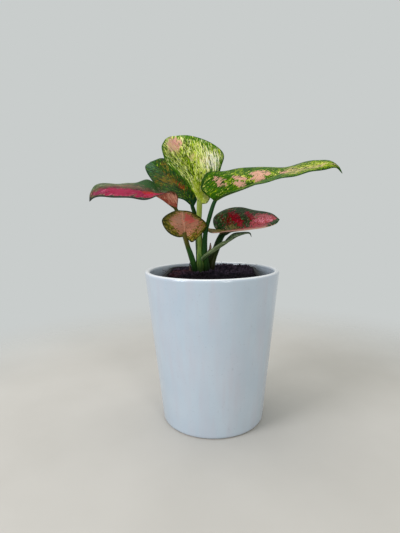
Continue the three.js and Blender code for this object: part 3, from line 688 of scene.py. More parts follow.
def make_leaf(name, leaf, look):
    """A blade whose tissue rises a little between its side veins, with a groove over the midrib and a
    wavy rim."""
    shares, widths, grid, reach, upper, along = leaf_frame(leaf)
    length = along[-1]
    s, v = np.meshgrid(shares, widths, indexing="ij")
    far = np.repeat(along[:, None], len(widths), 1)
    across = v * reach
    margin = np.minimum((1 - np.abs(v)) * reach, np.minimum(far, length - far) * 1.2 + 0.2)
    vein = far - look["lean"] * np.abs(across) - look["bend"] * across ** 2

    open_tissue = smooth(np.abs(across), 0.5, 4) * smooth(margin, 0.3, 3)
    quilt = -QUILT_HEIGHT * np.sin(2 * math.pi * vein / VEIN_PITCH) * open_tissue
    groove = -GROOVE_DEPTH * np.exp(-(across / GROOVE_WIDTH) ** 2) * (1 - s)
    waves = RIM_WAVE_HEIGHT * np.sin(2 * math.pi * (far / RIM_WAVE_LENGTH + RIM_WAVE_SHIFT * np.sign(v)))
    waves = waves * np.abs(v) ** 3 * smooth(margin + 1.5, 0, 2)
    waves = waves * smooth(far, 0, 12) * smooth(length - far, 0, 12)
    middle = grid + upper * (quilt + groove + waves)[..., None]
    half_thick = LEAF_THICK / 2 * np.sqrt(np.clip(margin / RIM_THINNING, 0.02, 1))
    # The midrib stands 1.4 mm proud of the underside at the base, and less and less towards the tip.
    rib_width = 0.6 + 0.9 * (1 - s)
    midrib = (0.25 + 1.15 * (1 - s) ** 0.8) * np.exp(-(across / rib_width) ** 2) * smooth(length - far, 0, 8)
    return thin_blade(
        "leaf_" + name, middle, upper, half_thick, midrib, leaf_material(name, look),
        leaf_place=np.stack([s, v], -1), leaf_veins=np.stack([vein, across], -1),
        leaf_edge=np.stack([margin, far], -1))


# ---- stalks, cane and roots ----------------------------------------------------------------------

def stem_tree():
    """A fleshy stem along each line: as thick as its thick attribute, grooved towards its groove
    attribute, wider by its widen attribute where it clasps the cane, and ringed by old leaf scars."""
    tree, given = new_tree("Fleshy stem", [
        ("Lines", "Geometry", None), ("Sides", "Int", 40), ("Groove Depth", "Float", STALK_GROOVE),
        ("Scar Spacing", "Float", SCAR_SPACING * MM), ("Scar Height", "Float", 0.0),
        ("Skin", "Material", None)])
    line = add(tree, "GeometryNodeMeshToCurve", {"Mesh": given["Lines"]})
    thick = add(tree, "GeometryNodeInputNamedAttribute", {"Name": "thick"}, data_type="FLOAT")
    here = add(tree, "GeometryNodeInputPosition")
    tangent = add(tree, "GeometryNodeInputTangent")
    gone = add(tree, "GeometryNodeSplineParameter", out="Length")
    for label, value, kind in (
            ("centre", here, "FLOAT_VECTOR"), ("ahead", tangent, "FLOAT_VECTOR"), ("gone", gone, "FLOAT")):
        line = add(tree, "GeometryNodeStoreNamedAttribute", {
            "Geometry": line, "Name": label, "Value": value}, data_type=kind, domain="POINT")
    ring = add(tree, "GeometryNodeCurvePrimitiveCircle", {"Resolution": given["Sides"], "Radius": 1.0})
    stem = add(tree, "GeometryNodeCurveToMesh", {
        "Curve": line, "Profile Curve": ring, "Scale": thick, "Fill Caps": True})
    centre, ahead, inner = (
        add(tree, "GeometryNodeInputNamedAttribute", {"Name": label}, data_type="FLOAT_VECTOR")
        for label in ("centre", "ahead", "groove"))
    widen, length = (
        add(tree, "GeometryNodeInputNamedAttribute", {"Name": label}, data_type="FLOAT")
        for label in ("widen", "gone"))
    out = add(tree, "ShaderNodeVectorMath", {0: here, 1: centre}, operation="SUBTRACT")
    out_way = add(tree, "ShaderNodeVectorMath", {0: out}, operation="NORMALIZE")
    side_way = add(tree, "ShaderNodeVectorMath", {0: inner, 1: ahead}, operation="CROSS_PRODUCT")
    side_way = add(tree, "ShaderNodeVectorMath", {0: side_way}, operation="NORMALIZE")
    sideways = add(tree, "ShaderNodeVectorMath", {0: out, 1: side_way}, out="Value", operation="DOT_PRODUCT")
    sideways = add(tree, "ShaderNodeMath", {0: sideways, 1: widen}, operation="MULTIPLY")
    wider = add(tree, "ShaderNodeVectorMath", {0: side_way, "Scale": sideways}, operation="SCALE")
    facing = add(tree, "ShaderNodeVectorMath", {0: out_way, 1: inner}, out="Value", operation="DOT_PRODUCT")
    facing = add(tree, "ShaderNodeMapRange", {
        "Value": facing, "From Min": 0.45, "From Max": 1.0}, interpolation_type="SMOOTHSTEP")
    depth = add(tree, "ShaderNodeMath", {0: facing, 1: given["Groove Depth"]}, operation="MULTIPLY")
    depth = add(tree, "ShaderNodeMath", {0: depth, 1: -1.0}, operation="MULTIPLY")
    hollow = add(tree, "ShaderNodeVectorMath", {0: out, "Scale": depth}, operation="SCALE")
    scar = add(tree, "ShaderNodeMath", {0: length, 1: given["Scar Spacing"]}, operation="DIVIDE")
    scar = add(tree, "ShaderNodeMath", {0: scar, 1: 2 * math.pi}, operation="MULTIPLY")
    scar = add(tree, "ShaderNodeMath", {0: scar}, operation="COSINE")
    scar = add(tree, "ShaderNodeMapRange", {
        "Value": scar, "From Min": 0.7, "From Max": 1.0, "To Min": 0.0, "To Max": given["Scar Height"]},
        interpolation_type="SMOOTHSTEP")
    ridge = add(tree, "ShaderNodeVectorMath", {0: out_way, "Scale": scar}, operation="SCALE")
    for offset in (wider, hollow, ridge):
        stem = add(tree, "GeometryNodeSetPosition", {"Geometry": stem, "Offset": offset})
    stem = add(tree, "GeometryNodeStoreNamedAttribute", {
        "Geometry": stem, "Name": "around", "Value": out_way}, data_type="FLOAT_VECTOR", domain="POINT")
    close_tree(tree, stem, given["Skin"])
    return tree


def stalk_line(leaf, girth):
    """A stalk's line from its foot beside the cane to the midrib, which it runs under, with its radius
    there, the way its groove faces and how much it widens. girth makes its fleshy sheath thicker than
    the CAD's rod, at foot and top."""
    angle = math.radians(leaf["around"])
    outward = np.array([math.cos(angle), math.sin(angle), 0])
    ring = CANE_RADIUS + 0.3 + leaf["radius"][0]
    foot = np.array([*CANE_AT, STALK_FOOT - STALK_SUNK]) + ring * outward
    _, _, grid, _, upper, along = leaf_frame(leaf)
    rows = [int(np.searchsorted(along, far)) for far, _ in STALK_UNDER_LEAF]
    under = [grid[row, LEAF_STRIPS] - upper[row, LEAF_STRIPS] * depth
             for row, (_, depth) in zip(rows, STALK_UNDER_LEAF)]
    line = even_curve([foot, *leaf["stalk"], *under], 110)
    gone = far_along(line)
    blade = gone[-1] - STALK_TAPER
    share = np.clip(gone / blade, 0, 1)
    foot_radius, top_radius = np.array(leaf["radius"]) * girth
    radius = foot_radius + (top_radius - foot_radius) * share
    radius = radius * (1 - 0.82 * smooth(gone, blade - 1, gone[-1]))
    # The groove faces the cane at the foot, and the leaf's upper side at the top.
    turned_up = smooth(share, 0.5, 1)[:, None]
    facing = -outward[None] * (1 - turned_up) + upper[rows[0], LEAF_STRIPS] * turned_up
    ahead = unit(np.gradient(line, axis=0))
    facing = unit(facing - ahead * np.sum(facing * ahead, 1, keepdims=True))
    return line, radius * MM, facing, STALK_CLASP * (1 - smooth(gone, 6, 24))


def stem_material(name, foot, top, streak, blush=None, rise=(8, 42)):
    """Fleshy leaf stalk: firm, moist green tissue with fine lengthwise streaks and a soft waxy shine.
    Its colour goes from foot to top over the stretch rise, in millimetres from its foot."""
    material, tree, shader = new_material(
        "fleshy_stalk_" + name, IOR=1.45, Specular_IOR_Level=0.1, Subsurface_Weight=0.1,
        Subsurface_Radius=(0.8, 1.0, 0.3), Subsurface_Scale=0.0008)
    around = add(tree, "ShaderNodeAttribute", attribute_name="around", out="Vector")
    gone = add(tree, "ShaderNodeAttribute", attribute_name="gone", out="Fac")
    up = add(tree, "ShaderNodeMath", {0: gone, 1: 1 / (14 * MM)}, operation="MULTIPLY")  # streaks 14 mm long
    up = add(tree, "ShaderNodeCombineXYZ", {2: up})
    streaked = add(tree, "ShaderNodeVectorMath", {0: around, 1: (5, 5, 1)}, operation="MULTIPLY")
    streaked = add(tree, "ShaderNodeVectorMath", {0: streaked, 1: up}, operation="ADD")
    lines = add(tree, "ShaderNodeTexNoise", {
        "Vector": streaked, "Scale": 1.0, "Detail": 3.0, "Roughness": 0.6})
    height = add(tree, "ShaderNodeMapRange", {
        "Value": gone, "From Min": rise[0] * MM, "From Max": rise[1] * MM}, interpolation_type="SMOOTHSTEP")
    colour = add(tree, "ShaderNodeMix", {
        0: height, 6: linear(foot), 7: linear(top)}, out=2, data_type="RGBA")
    mask = add(tree, "ShaderNodeMapRange", {"Value": lines, "From Min": 0.5, "From Max": 0.72})
    colour = add(tree, "ShaderNodeMix", {0: mask, 6: colour, 7: linear(streak)}, out=2, data_type="RGBA")
    if blush:
        low = add(tree, "ShaderNodeMapRange", {
            "Value": gone, "From Min": 3 * MM, "From Max": 12 * MM, "To Min": 0.8, "To Max": 0.0})
        colour = add(tree, "ShaderNodeMix", {0: low, 6: colour, 7: linear(blush)}, out=2, data_type="RGBA")
    # Painted shade: darker towards the foot, where the stalks crowd together over the mix.
    low_darkening = add(tree, "ShaderNodeMapRange", {
        "Value": gone, "From Min": 5 * MM, "From Max": 19 * MM, "To Min": 0.22, "To Max": 1.0},
        interpolation_type="SMOOTHSTEP")
    colour = add(tree, "ShaderNodeVectorMath", {0: colour, 1: low_darkening}, operation="MULTIPLY")
    shine = add(tree, "ShaderNodeMapRange", {
        "Value": lines, "From Min": 0.3, "From Max": 0.7, "To Min": 0.36, "To Max": 0.5})
    bump = add(tree, "ShaderNodeBump", {"Strength": 0.3, "Distance": 0.0002, "Height": lines})
    connect(tree, shader, Base_Color=colour, Roughness=shine, Normal=bump)
    return material


# How much thicker each fleshy stalk is than its CAD rod, at foot and top.
STALK_GIRTH = {
    "top": (1.35, 1.45), "long_right": (1.45, 0.85), "back": (1.2, 1.15), "left": (1.1, 1.2),
    "front": (1.5, 1.65), "low_right": (1.45, 1.15), "young": (0.7, 1.65),
}

# Each stalk's colours at foot and top, the colour of its streaks, and of a brown blush where it has one.
STALK_LOOKS = {
    "top": dict(foot="#31541c", top="#8c9f46", streak="#a2b45a", rise=(14, 60)),
    "long_right": dict(foot="#1d3c0e", top="#0d3410", streak="#204a16"),
    "back": dict(foot="#16360f", top="#143610", streak="#264c1c"),
    "left": dict(foot="#33390f", top="#3a3c10", streak="#53531c"),
    "front": dict(foot="#1a4013", top="#5f5426", streak="#466630", rise=(26, 38)),
    "low_right": dict(foot="#2c300e", top="#0f340f", streak="#30461c", blush="#352b0a"),
    "young": dict(foot="#28441a", top="#4c5a38", streak="#929c7c", rise=(15, 30)),
}


def cane_lines():
    """The cane and its roots, from the CAD's own rule, each line with its radius."""
    heights = (CANE_FOOT, (CANE_FOOT + CANE_TOP) / 2, CANE_TOP)
    lines = [even_curve([(*CANE_AT, height) for height in heights], 120)]
    thick = [np.linspace(CANE_RADIUS, CANE_RADIUS * 0.8, 120)]
    for k in range(ROOT_COUNT):
        angle = 2 * math.pi * (k + 0.3) / ROOT_COUNT
        reach = ROOT_REACH - 1.5 * (k % 3)
        bends = [(CANE_AT[0] + out * reach * math.cos(angle + 0.12 * step),
                  CANE_AT[1] + out * reach * math.sin(angle + 0.12 * step),
                  CANE_FOOT + 4 + 2.5 * k - down * ROOT_DROP)
                 for step, (out, down) in enumerate(((0, 0), (0.5, 0.25), (0.85, 0.6), (1, 1)))]
        lines.append(even_curve(bends, 40))
        thick.append(np.linspace(ROOT_RADIUS, ROOT_RADIUS * 0.6, 40))
    return lines, np.concatenate(thick) * MM


def cane_material():
    """Young cane bark: green-brown skin ringed by pale leaf scars, dull and slightly cracked."""
    material, tree, shader = new_material("ringed_cane_bark", Roughness=0.7)
    gone = add(tree, "ShaderNodeAttribute", attribute_name="gone", out="Fac")
    turn = add(tree, "ShaderNodeMath", {0: gone, 1: 2 * math.pi / (SCAR_SPACING * MM)}, operation="MULTIPLY")
    wave = add(tree, "ShaderNodeMath", {0: turn}, operation="COSINE")
    scar = add(tree, "ShaderNodeMapRange", {"Value": wave, "From Min": 0.75, "From Max": 1.0})
    place = add(tree, "ShaderNodeTexCoord", out="Object")
    bark = add(tree, "ShaderNodeTexNoise", {"Vector": place, "Scale": 900.0, "Detail": 4.0})  # grain of 1 mm
    colour = linear("#4c4b22")
    for share, tone in ((bark, "#7c7644"), (scar, "#9a8c68")):
        colour = add(tree, "ShaderNodeMix", {0: share, 6: colour, 7: linear(tone)}, out=2, data_type="RGBA")
    bump = add(tree, "ShaderNodeBump", {"Strength": 0.4, "Distance": 0.0003, "Height": bark})
    connect(tree, shader, Base_Color=colour, Normal=bump)
    return material


def sheath_material():
    """Dried leaf sheath: thin, papery, fibrous tissue, dull tan with darker lengthwise fibres 0.3 mm apart,
    and darker still towards its lower end, near the mix."""
    material, tree, shader = new_material("papery_dry_sheath", Roughness=0.85, Specular_IOR_Level=0.2)
    veins = add(tree, "ShaderNodeAttribute", attribute_name="leaf_veins", out="Vector")
    stretched = add(tree, "ShaderNodeVectorMath", {0: veins, 1: (0.25, 3.2, 0)}, operation="MULTIPLY")
    fibres = add(tree, "ShaderNodeTexNoise", {"Vector": stretched, "Scale": 1.0, "Detail": 3.0})
    share = add(tree, "ShaderNodeMapRange", {"Value": fibres, "From Min": 0.35, "From Max": 0.65})
    colour = add(tree, "ShaderNodeMix", {
        0: share, 6: linear("#4e3a36"), 7: linear("#9c7f6c")}, out=2, data_type="RGBA")
    place = add(tree, "ShaderNodeTexCoord", out="Object")
    level = add(tree, "ShaderNodeSeparateXYZ", {0: place}, out="Z")
    # Darker towards its lower end, near the mix.
    low_darkening = add(tree, "ShaderNodeMapRange", {
        "Value": level, "From Min": 0.148, "From Max": 0.16, "To Min": 0.3, "To Max": 1.0})
    colour = add(tree, "ShaderNodeVectorMath", {0: colour, 1: low_darkening}, operation="MULTIPLY")
    bump = add(tree, "ShaderNodeBump", {"Strength": 0.5, "Distance": 0.0003, "Height": fibres})
    connect(tree, shader, Base_Color=colour, Normal=bump)
    return material


def make_sheath(name, bends, width, material):
    """A torn papery flap: cupped across, narrowing to a ragged tip."""
    rows, columns = 41, 21
    s = np.linspace(0, 1, rows)
    v = np.linspace(-1, 1, columns)
    line = even_curve(bends, rows)
    torn = 0.16 * np.sin(19 * s + 1) + 0.1 * np.sin(43 * s)  # notches along its edges
    half = np.maximum(width / 2 * (1 - s) ** 0.6 * (1 + torn * s), 0.25)
    middle = np.zeros((rows, columns, 3))
    middle[:] = line[:, None]
    middle[..., 0] += half[:, None] * v
    middle[..., 1] += SHEATH_CUP * v ** 2 + 0.25 * np.sin(7 * v + 9 * s[:, None]) * s[:, None]
    upper = unit(np.cross(np.gradient(middle, axis=1), np.gradient(middle, axis=0)))
    half_thick = np.full((rows, columns), SHEATH_THICK * 0.3)
    veins = np.stack([np.repeat((s * 10)[:, None], columns, 1), half[:, None] * v], -1)
    return thin_blade(
        "dry_sheath_" + name, middle, upper, half_thick, half_thick * 0, material, leaf_veins=veins)


# ---- planter, nursery pot and potting mix --------------------------------------------------------

def lathe_tree():
    """Turns a line of points in the XZ plane into a closed round body."""
    tree, given = new_tree("Turned body", [
        ("Profile", "Geometry", None), ("Sides", "Int", 192), ("Profile Points", "Int", 160),
        ("Glaze", "Material", None)])
    profile = add(tree, "GeometryNodeMeshToCurve", {"Mesh": given["Profile"]})
    columns = add(tree, "ShaderNodeMath", {0: given["Sides"], 1: 1.0}, operation="ADD")
    grid = add(tree, "GeometryNodeMeshGrid", {
        "Size X": 1.0, "Size Y": 1.0, "Vertices X": columns, "Vertices Y": given["Profile Points"]})
    here = add(tree, "ShaderNodeSeparateXYZ", {0: add(tree, "GeometryNodeInputPosition")}, out=None)
    turn = add(tree, "ShaderNodeMapRange", {
        "Value": here.outputs[0], "From Min": -0.5, "From Max": 0.5, "To Min": 0.0, "To Max": 2 * math.pi})
    share = add(tree, "ShaderNodeMath", {0: here.outputs[1], 1: 0.5}, operation="ADD")
    point = add(tree, "GeometryNodeSampleCurve", {"Curves": profile, "Factor": share}, out="Position",
                mode="FACTOR", use_all_curves=True)
    moved = add(tree, "ShaderNodeVectorRotate", {"Vector": point, "Angle": turn}, rotation_type="Z_AXIS")
    body = add(tree, "GeometryNodeSetPosition", {"Geometry": grid, "Position": moved})
    body = add(tree, "GeometryNodeMergeByDistance", {"Geometry": body, "Distance": 2e-6})
    close_tree(tree, body, given["Glaze"])
    return tree


def planter_profile():
    """Half the planter's section, from the middle of its underside round the foot, wall and lip to its
    floor."""
    slope = (PLANTER_RIM_RADIUS - PLANTER_BASE_RADIUS) / PLANTER_HEIGHT

    def outer(z):
        return PLANTER_BASE_RADIUS + slope * z

    def rounding(*corner):
        start, control, end = (np.array(point) for point in corner)
        return [tuple(bowed(start, control, end, share)) for share in np.linspace(0, 1, 14)]

    lip = PLANTER_WALL / 2
    lip_height = PLANTER_HEIGHT - lip
    foot, base, cove = PLANTER_FOOT_ROUND, PLANTER_BASE_RADIUS, PLANTER_FLOOR + 8
    low = outer(cove) - PLANTER_WALL
    points = [(r, FOOT_RECESS) for r in np.linspace(0, FOOT_RING[0], 24)]
    points += [(r, FOOT_RECESS * (1 - smooth(r, *FOOT_RING))) for r in np.linspace(*FOOT_RING, 7)[1:]]
    points.append((base - foot - 0.8, 0))
    points += rounding((base - foot, 0), (base, 0), (outer(foot), foot))
    points += [(outer(z), z) for z in np.linspace(foot, lip_height, 40)[1:]]
    points += [(outer(lip_height) - lip + lip * math.cos(a), lip_height + lip * math.sin(a))
               for a in np.linspace(0, math.pi, 22)[1:]]
    points += [(outer(z) - PLANTER_WALL, z) for z in np.linspace(lip_height, cove, 30)[1:]]
    points += rounding((low, cove), (low - 1, PLANTER_FLOOR), (low - 8, PLANTER_FLOOR))[1:]
    points += [(r, PLANTER_FLOOR) for r in np.linspace(low - 8, 0, 20)[1:]]
    return np.array([(r, 0, z) for r, z in points])


def glaze_material():
    """Slip-cast stoneware under a pale blue-grey gloss glaze with an even shine: clouds, long faint vertical
    streaks that are partly runs in the glaze and partly painted reflection, a whiter line on the lip that is
    partly thinner glaze and partly painted highlight, fine freckles, and a bare biscuit ring at the foot."""
    material, tree, shader = new_material(
        "blue_grey_glaze", IOR=1.5, Specular_IOR_Level=0.5, Coat_Weight=0.35, Coat_Roughness=0.12)
    place = add(tree, "ShaderNodeTexCoord", out="Object")
    cloud = add(tree, "ShaderNodeTexNoise", {
        "Vector": place, "Scale": 28.0, "Detail": 3.0})  # clouds of 35 mm
    speck = add(tree, "ShaderNodeTexNoise", {
        "Vector": place, "Scale": 560.0, "Detail": 2.0})  # grain of 1.8 mm
    # Pale vertical streaks about 9 mm wide and 80 mm tall: partly where the glaze flowed before it set,
    # partly painted reflection of tall lights.
    runs_and_reflections = add(tree, "ShaderNodeVectorMath", {0: place, 1: (110, 110, 12)}, operation="MULTIPLY")
    runs_and_reflections = add(tree, "ShaderNodeTexNoise", {"Vector": runs_and_reflections, "Scale": 1.0, "Detail": 3.0, "Roughness": 0.6})
    runs_and_reflections = add(tree, "ShaderNodeMapRange", {
        "Value": runs_and_reflections, "From Min": 0.42, "From Max": 0.7, "To Max": 0.55})
    freckle = add(tree, "ShaderNodeMapRange", {
        "Value": speck, "From Min": 0.66, "From Max": 0.74, "To Max": 0.4})
    height = add(tree, "ShaderNodeSeparateXYZ", {0: place}, out="Z")
    # A whiter line on the lip: partly glaze that thins over the edge, partly a painted highlight.
    lip = add(tree, "ShaderNodeMapRange", {
        "Value": height, "From Min": (PLANTER_HEIGHT - 1.5) * MM, "From Max": (PLANTER_HEIGHT - 0.2) * MM,
        "To Max": 0.7}, interpolation_type="SMOOTHSTEP")
    bare = add(tree, "ShaderNodeMapRange", {
        "Value": height, "From Min": 0.5 * MM, "From Max": 0.9 * MM, "To Min": 1.0, "To Max": 0.0})
    colour = linear("#a5b4c3")
    for share, tone in ((cloud, "#bac5cf"), (runs_and_reflections, "#b3b5c0"), (freckle, "#95a1ad"), (lip, "#f4f6f8"),
                        (bare, "#b9b2a6")):
        colour = add(tree, "ShaderNodeMix", {0: share, 6: colour, 7: linear(tone)}, out=2, data_type="RGBA")
    shine = add(tree, "ShaderNodeMapRange", {"Value": cloud, "To Min": 0.17, "To Max": 0.26})
    shine = add(tree, "ShaderNodeMix", {0: bare, 2: shine, 3: 0.85}, data_type="FLOAT")
    # The glaze's skin: a faint orange peel with waves of 6 mm.
    peel = add(tree, "ShaderNodeTexNoise", {"Vector": place, "Scale": 160.0, "Detail": 1.0})
    bump = add(tree, "ShaderNodeBump", {"Strength": 0.12, "Distance": 0.0004, "Height": peel})
    connect(tree, shader, Base_Color=colour, Roughness=shine, Normal=bump)
    return material


def rounded_square(half, corner, corner_steps=16):
    """Points round a square with round corners, anticlockwise, and about 6 mm apart along its sides."""
    points = []
    for quarter in range(4):
        turn = quarter * math.pi / 2
        spin = np.array([[math.cos(turn), -math.sin(turn)], [math.sin(turn), math.cos(turn)]])
        centre = spin @ np.array([half - corner, half - corner])
        points += [centre + corner * np.array([math.cos(a), math.sin(a)])
                   for a in turn + np.linspace(0, math.pi / 2, corner_steps)]
    filled = []
    for a, b in zip(points, points[1:] + points[:1]):
        count = max(1, int(np.linalg.norm(b - a) / 6))
        filled += [a + (b - a) * k / count for k in range(count)]
    return np.array(filled)


def turned(points):
    """Points of the square pot, turned a little in the planter."""
    spin = Matrix.Rotation(POT_TURN, 3, "Z")
    return np.asarray(points) @ np.array(spin).T


def pot_half(z):
    """Half the nursery pot's width outside, at a height."""
    return (POT_LIP_HALF - POT_LIP_WIDTH) * (
        POT_BASE_SHARE + (1 - POT_BASE_SHARE) * (z - POT_BOTTOM) / POT_HEIGHT)


def plastic_material():
    """Injection-moulded black polypropylene: near-black, with a fine satin grain and patches of dust."""
    material, tree, shader = new_material("black_polypropylene", IOR=1.49, Specular_IOR_Level=0.18)
    place = add(tree, "ShaderNodeTexCoord", out="Object")
    dust = add(tree, "ShaderNodeTexNoise", {
        "Vector": place, "Scale": 90.0, "Detail": 4.0})  # patches of 11 mm
    share = add(tree, "ShaderNodeMapRange", {
        "Value": dust, "From Min": 0.45, "From Max": 0.75, "To Max": 0.5})
    colour = add(tree, "ShaderNodeMix", {
        0: share, 6: linear("#0b0c0f"), 7: linear("#1d1a18")}, out=2, data_type="RGBA")
    shine = add(tree, "ShaderNodeMapRange", {"Value": dust, "To Min": 0.5, "To Max": 0.8})
    grain = add(tree, "ShaderNodeTexNoise", {"Vector": place, "Scale": 1600.0, "Detail": 1.0})  # 0.6 mm
    bump = add(tree, "ShaderNodeBump", {"Strength": 0.2, "Distance": 0.0002, "Height": grain})
    connect(tree, shader, Base_Color=colour, Roughness=shine, Normal=bump)
    return material


def make_nursery_pot(material):
    """The square pot: tapering wall, a turned-down lip with rounded edges, and five drain holes."""
    lip_low, wall, round_by = POT_TOP - POT_LIP_DEPTH, POT_WALL, POT_CORNER
    low = pot_half(POT_BOTTOM)
    # Each section's height, half width and corner radius: the floor from its middle out, the wall, the lip,
    # and then the inside down to the floor again.
    sections = [(POT_BOTTOM, half, 3.0) for half in (6, 16, 24)]
    sections += [(POT_BOTTOM, low - 1.6, round_by - 1.6), (POT_BOTTOM + 0.4, low - 0.5, round_by - 0.5)]
    sections += [(z, pot_half(z), round_by) for z in np.linspace(POT_BOTTOM + 1.4, lip_low - 0.3, 16)]
    sections += [(lip_low, pot_half(lip_low) + 0.4, round_by), (lip_low, POT_LIP_HALF - 0.5, round_by),
                 (lip_low + 0.5, POT_LIP_HALF, round_by), (POT_TOP - 0.9, POT_LIP_HALF, round_by),
                 (POT_TOP - 0.25, POT_LIP_HALF - 0.3, round_by),
                 (POT_TOP, POT_LIP_HALF - 0.9, round_by - 0.5)]
    inside = pot_half(POT_TOP) - wall
    sections += [(POT_TOP, inside + 0.9, round_by - 0.6), (POT_TOP - 0.25, inside + 0.3, round_by - 0.9),
                 (POT_TOP - 0.9, inside, round_by - wall)]
    sections += [(z, pot_half(z) - wall, round_by - wall)
                 for z in np.linspace(POT_TOP - 2, POT_BOTTOM + wall + 1, 14)]
    sections += [(POT_BOTTOM + wall, low - wall - 1.2, round_by - wall - 1.2)]
    sections += [(POT_BOTTOM + wall, half, 3.0) for half in (24, 16, 6)]
    rings = []
    outline = rounded_square(POT_LIP_HALF, POT_CORNER)
    inner = POT_LIP_HALF - POT_CORNER
    middle = np.clip(outline, -inner, inner)
    for z, half, corner in sections:
        flat = middle * (half - corner) / inner + (outline - middle) * corner / POT_CORNER
        rings.append(turned(np.column_stack([flat, np.full(len(flat), z)])))
    pot = lofted("nursery_pot_black", rings, material)
    drills = bmesh.new()
    for x, y in ((0, 0), (1, 1), (1, -1), (-1, 1), (-1, -1)):
        spot = turned([[x * DRAIN_SPREAD, y * DRAIN_SPREAD, POT_BOTTOM]])[0]
        bmesh.ops.create_cone(
            drills, cap_ends=True, segments=40, radius1=DRAIN_RADIUS * MM, radius2=DRAIN_RADIUS * MM,
            depth=8 * MM, matrix=Matrix.Translation(Vector(spot) * MM))
    mesh = bpy.data.meshes.new("drills")
    drills.to_mesh(mesh)
    drills.free()
    cutter = linked("drills", mesh)
    cut = pot.modifiers.new("Drain holes", "BOOLEAN")
    cut.operation, cut.solver, cut.object = "DIFFERENCE", "EXACT", cutter
    plain_mesh(pot)
    bpy.data.objects.remove(cutter)
    return pot


def mix_height(x, y):
    """The top of the mix: gently uneven, heaped against the plant's foot and along the back of the pot."""
    uneven = 0.7 * (np.sin(x * 0.31 + 1) * np.cos(y * 0.27) + 0.6 * np.sin(x * 0.13 - y * 0.19))
    # A heap 15 mm in radius, and a bank that rises towards the back.
    at_foot = np.exp(-((x - CANE_AT[0] - 2) ** 2 + (y - CANE_AT[1]) ** 2) / 15 ** 2)
    at_back = smooth(y, 10, 34) * smooth(x, -45, 10)
    return MIX_TOP + uneven + MIX_MOUND * at_foot + MIX_BANK * at_back


def mix_material():
    """Coir and peat potting mix: damp, crumbly and dull, nearly black between crumbs of 3 mm, with paler
    purplish husk and fibres."""
    material, tree, shader = new_material("damp_coir_mix", Roughness=0.95, Specular_IOR_Level=0.1)
    place = add(tree, "ShaderNodeTexCoord", out="Object")
    across, forward = (add(tree, "ShaderNodeSeparateXYZ", {0: place}, out=axis) for axis in "XY")
    tint = add(tree, "ShaderNodeAttribute", attribute_name="tint", out="Fac")
    crumbs = add(tree, "ShaderNodeTexNoise", {
        "Vector": place, "Scale": 330.0, "Detail": 5.0, "Roughness": 0.7})
    pale = add(tree, "ShaderNodeMapRange", {"Value": crumbs, "From Min": 0.38, "From Max": 0.68})
    husk = add(tree, "ShaderNodeMapRange", {"Value": tint, "From Min": 0.45, "From Max": 1.1})
    # Redder husk where the mix is drier, to the left of the stalks, in patches of 20 mm.
    leftward = add(tree, "ShaderNodeMapRange", {"Value": across, "From Min": 0.0, "From Max": -0.03})
    dry = add(tree, "ShaderNodeTexNoise", {"Vector": place, "Scale": 50.0, "Detail": 2.0})
    dry = add(tree, "ShaderNodeMapRange", {"Value": dry, "From Min": 0.42, "From Max": 0.6, "To Max": 0.7})
    dry = add(tree, "ShaderNodeMath", {0: dry, 1: leftward}, operation="MULTIPLY")
    # Painted shadow: nearly black along the front, where the rim shades it, with an edge that is uneven by
    # some 11 mm.
    uneven = add(tree, "ShaderNodeTexNoise", {"Vector": place, "Scale": 90.0, "Detail": 2.0})
    forward = add(tree, "ShaderNodeMath", {0: uneven, 1: 0.03, 2: forward}, operation="MULTIPLY_ADD")
    front_shadow = add(tree, "ShaderNodeMapRange", {
        "Value": forward, "From Min": 0.016, "From Max": 0.002, "To Max": 0.85})
    colour = linear("#050509")
    # The last tone is the painted shadow along the front.
    for share, tone in ((pale, "#2a2434"), (husk, "#463a48"), (dry, "#4a2420"), (front_shadow, "#060609")):
        colour = add(tree, "ShaderNodeMix", {0: share, 6: colour, 7: linear(tone)}, out=2, data_type="RGBA")
    bump = add(tree, "ShaderNodeBump", {"Strength": 0.8, "Distance": 0.0008, "Height": crumbs})
    connect(tree, shader, Base_Color=colour, Normal=bump)
    return material


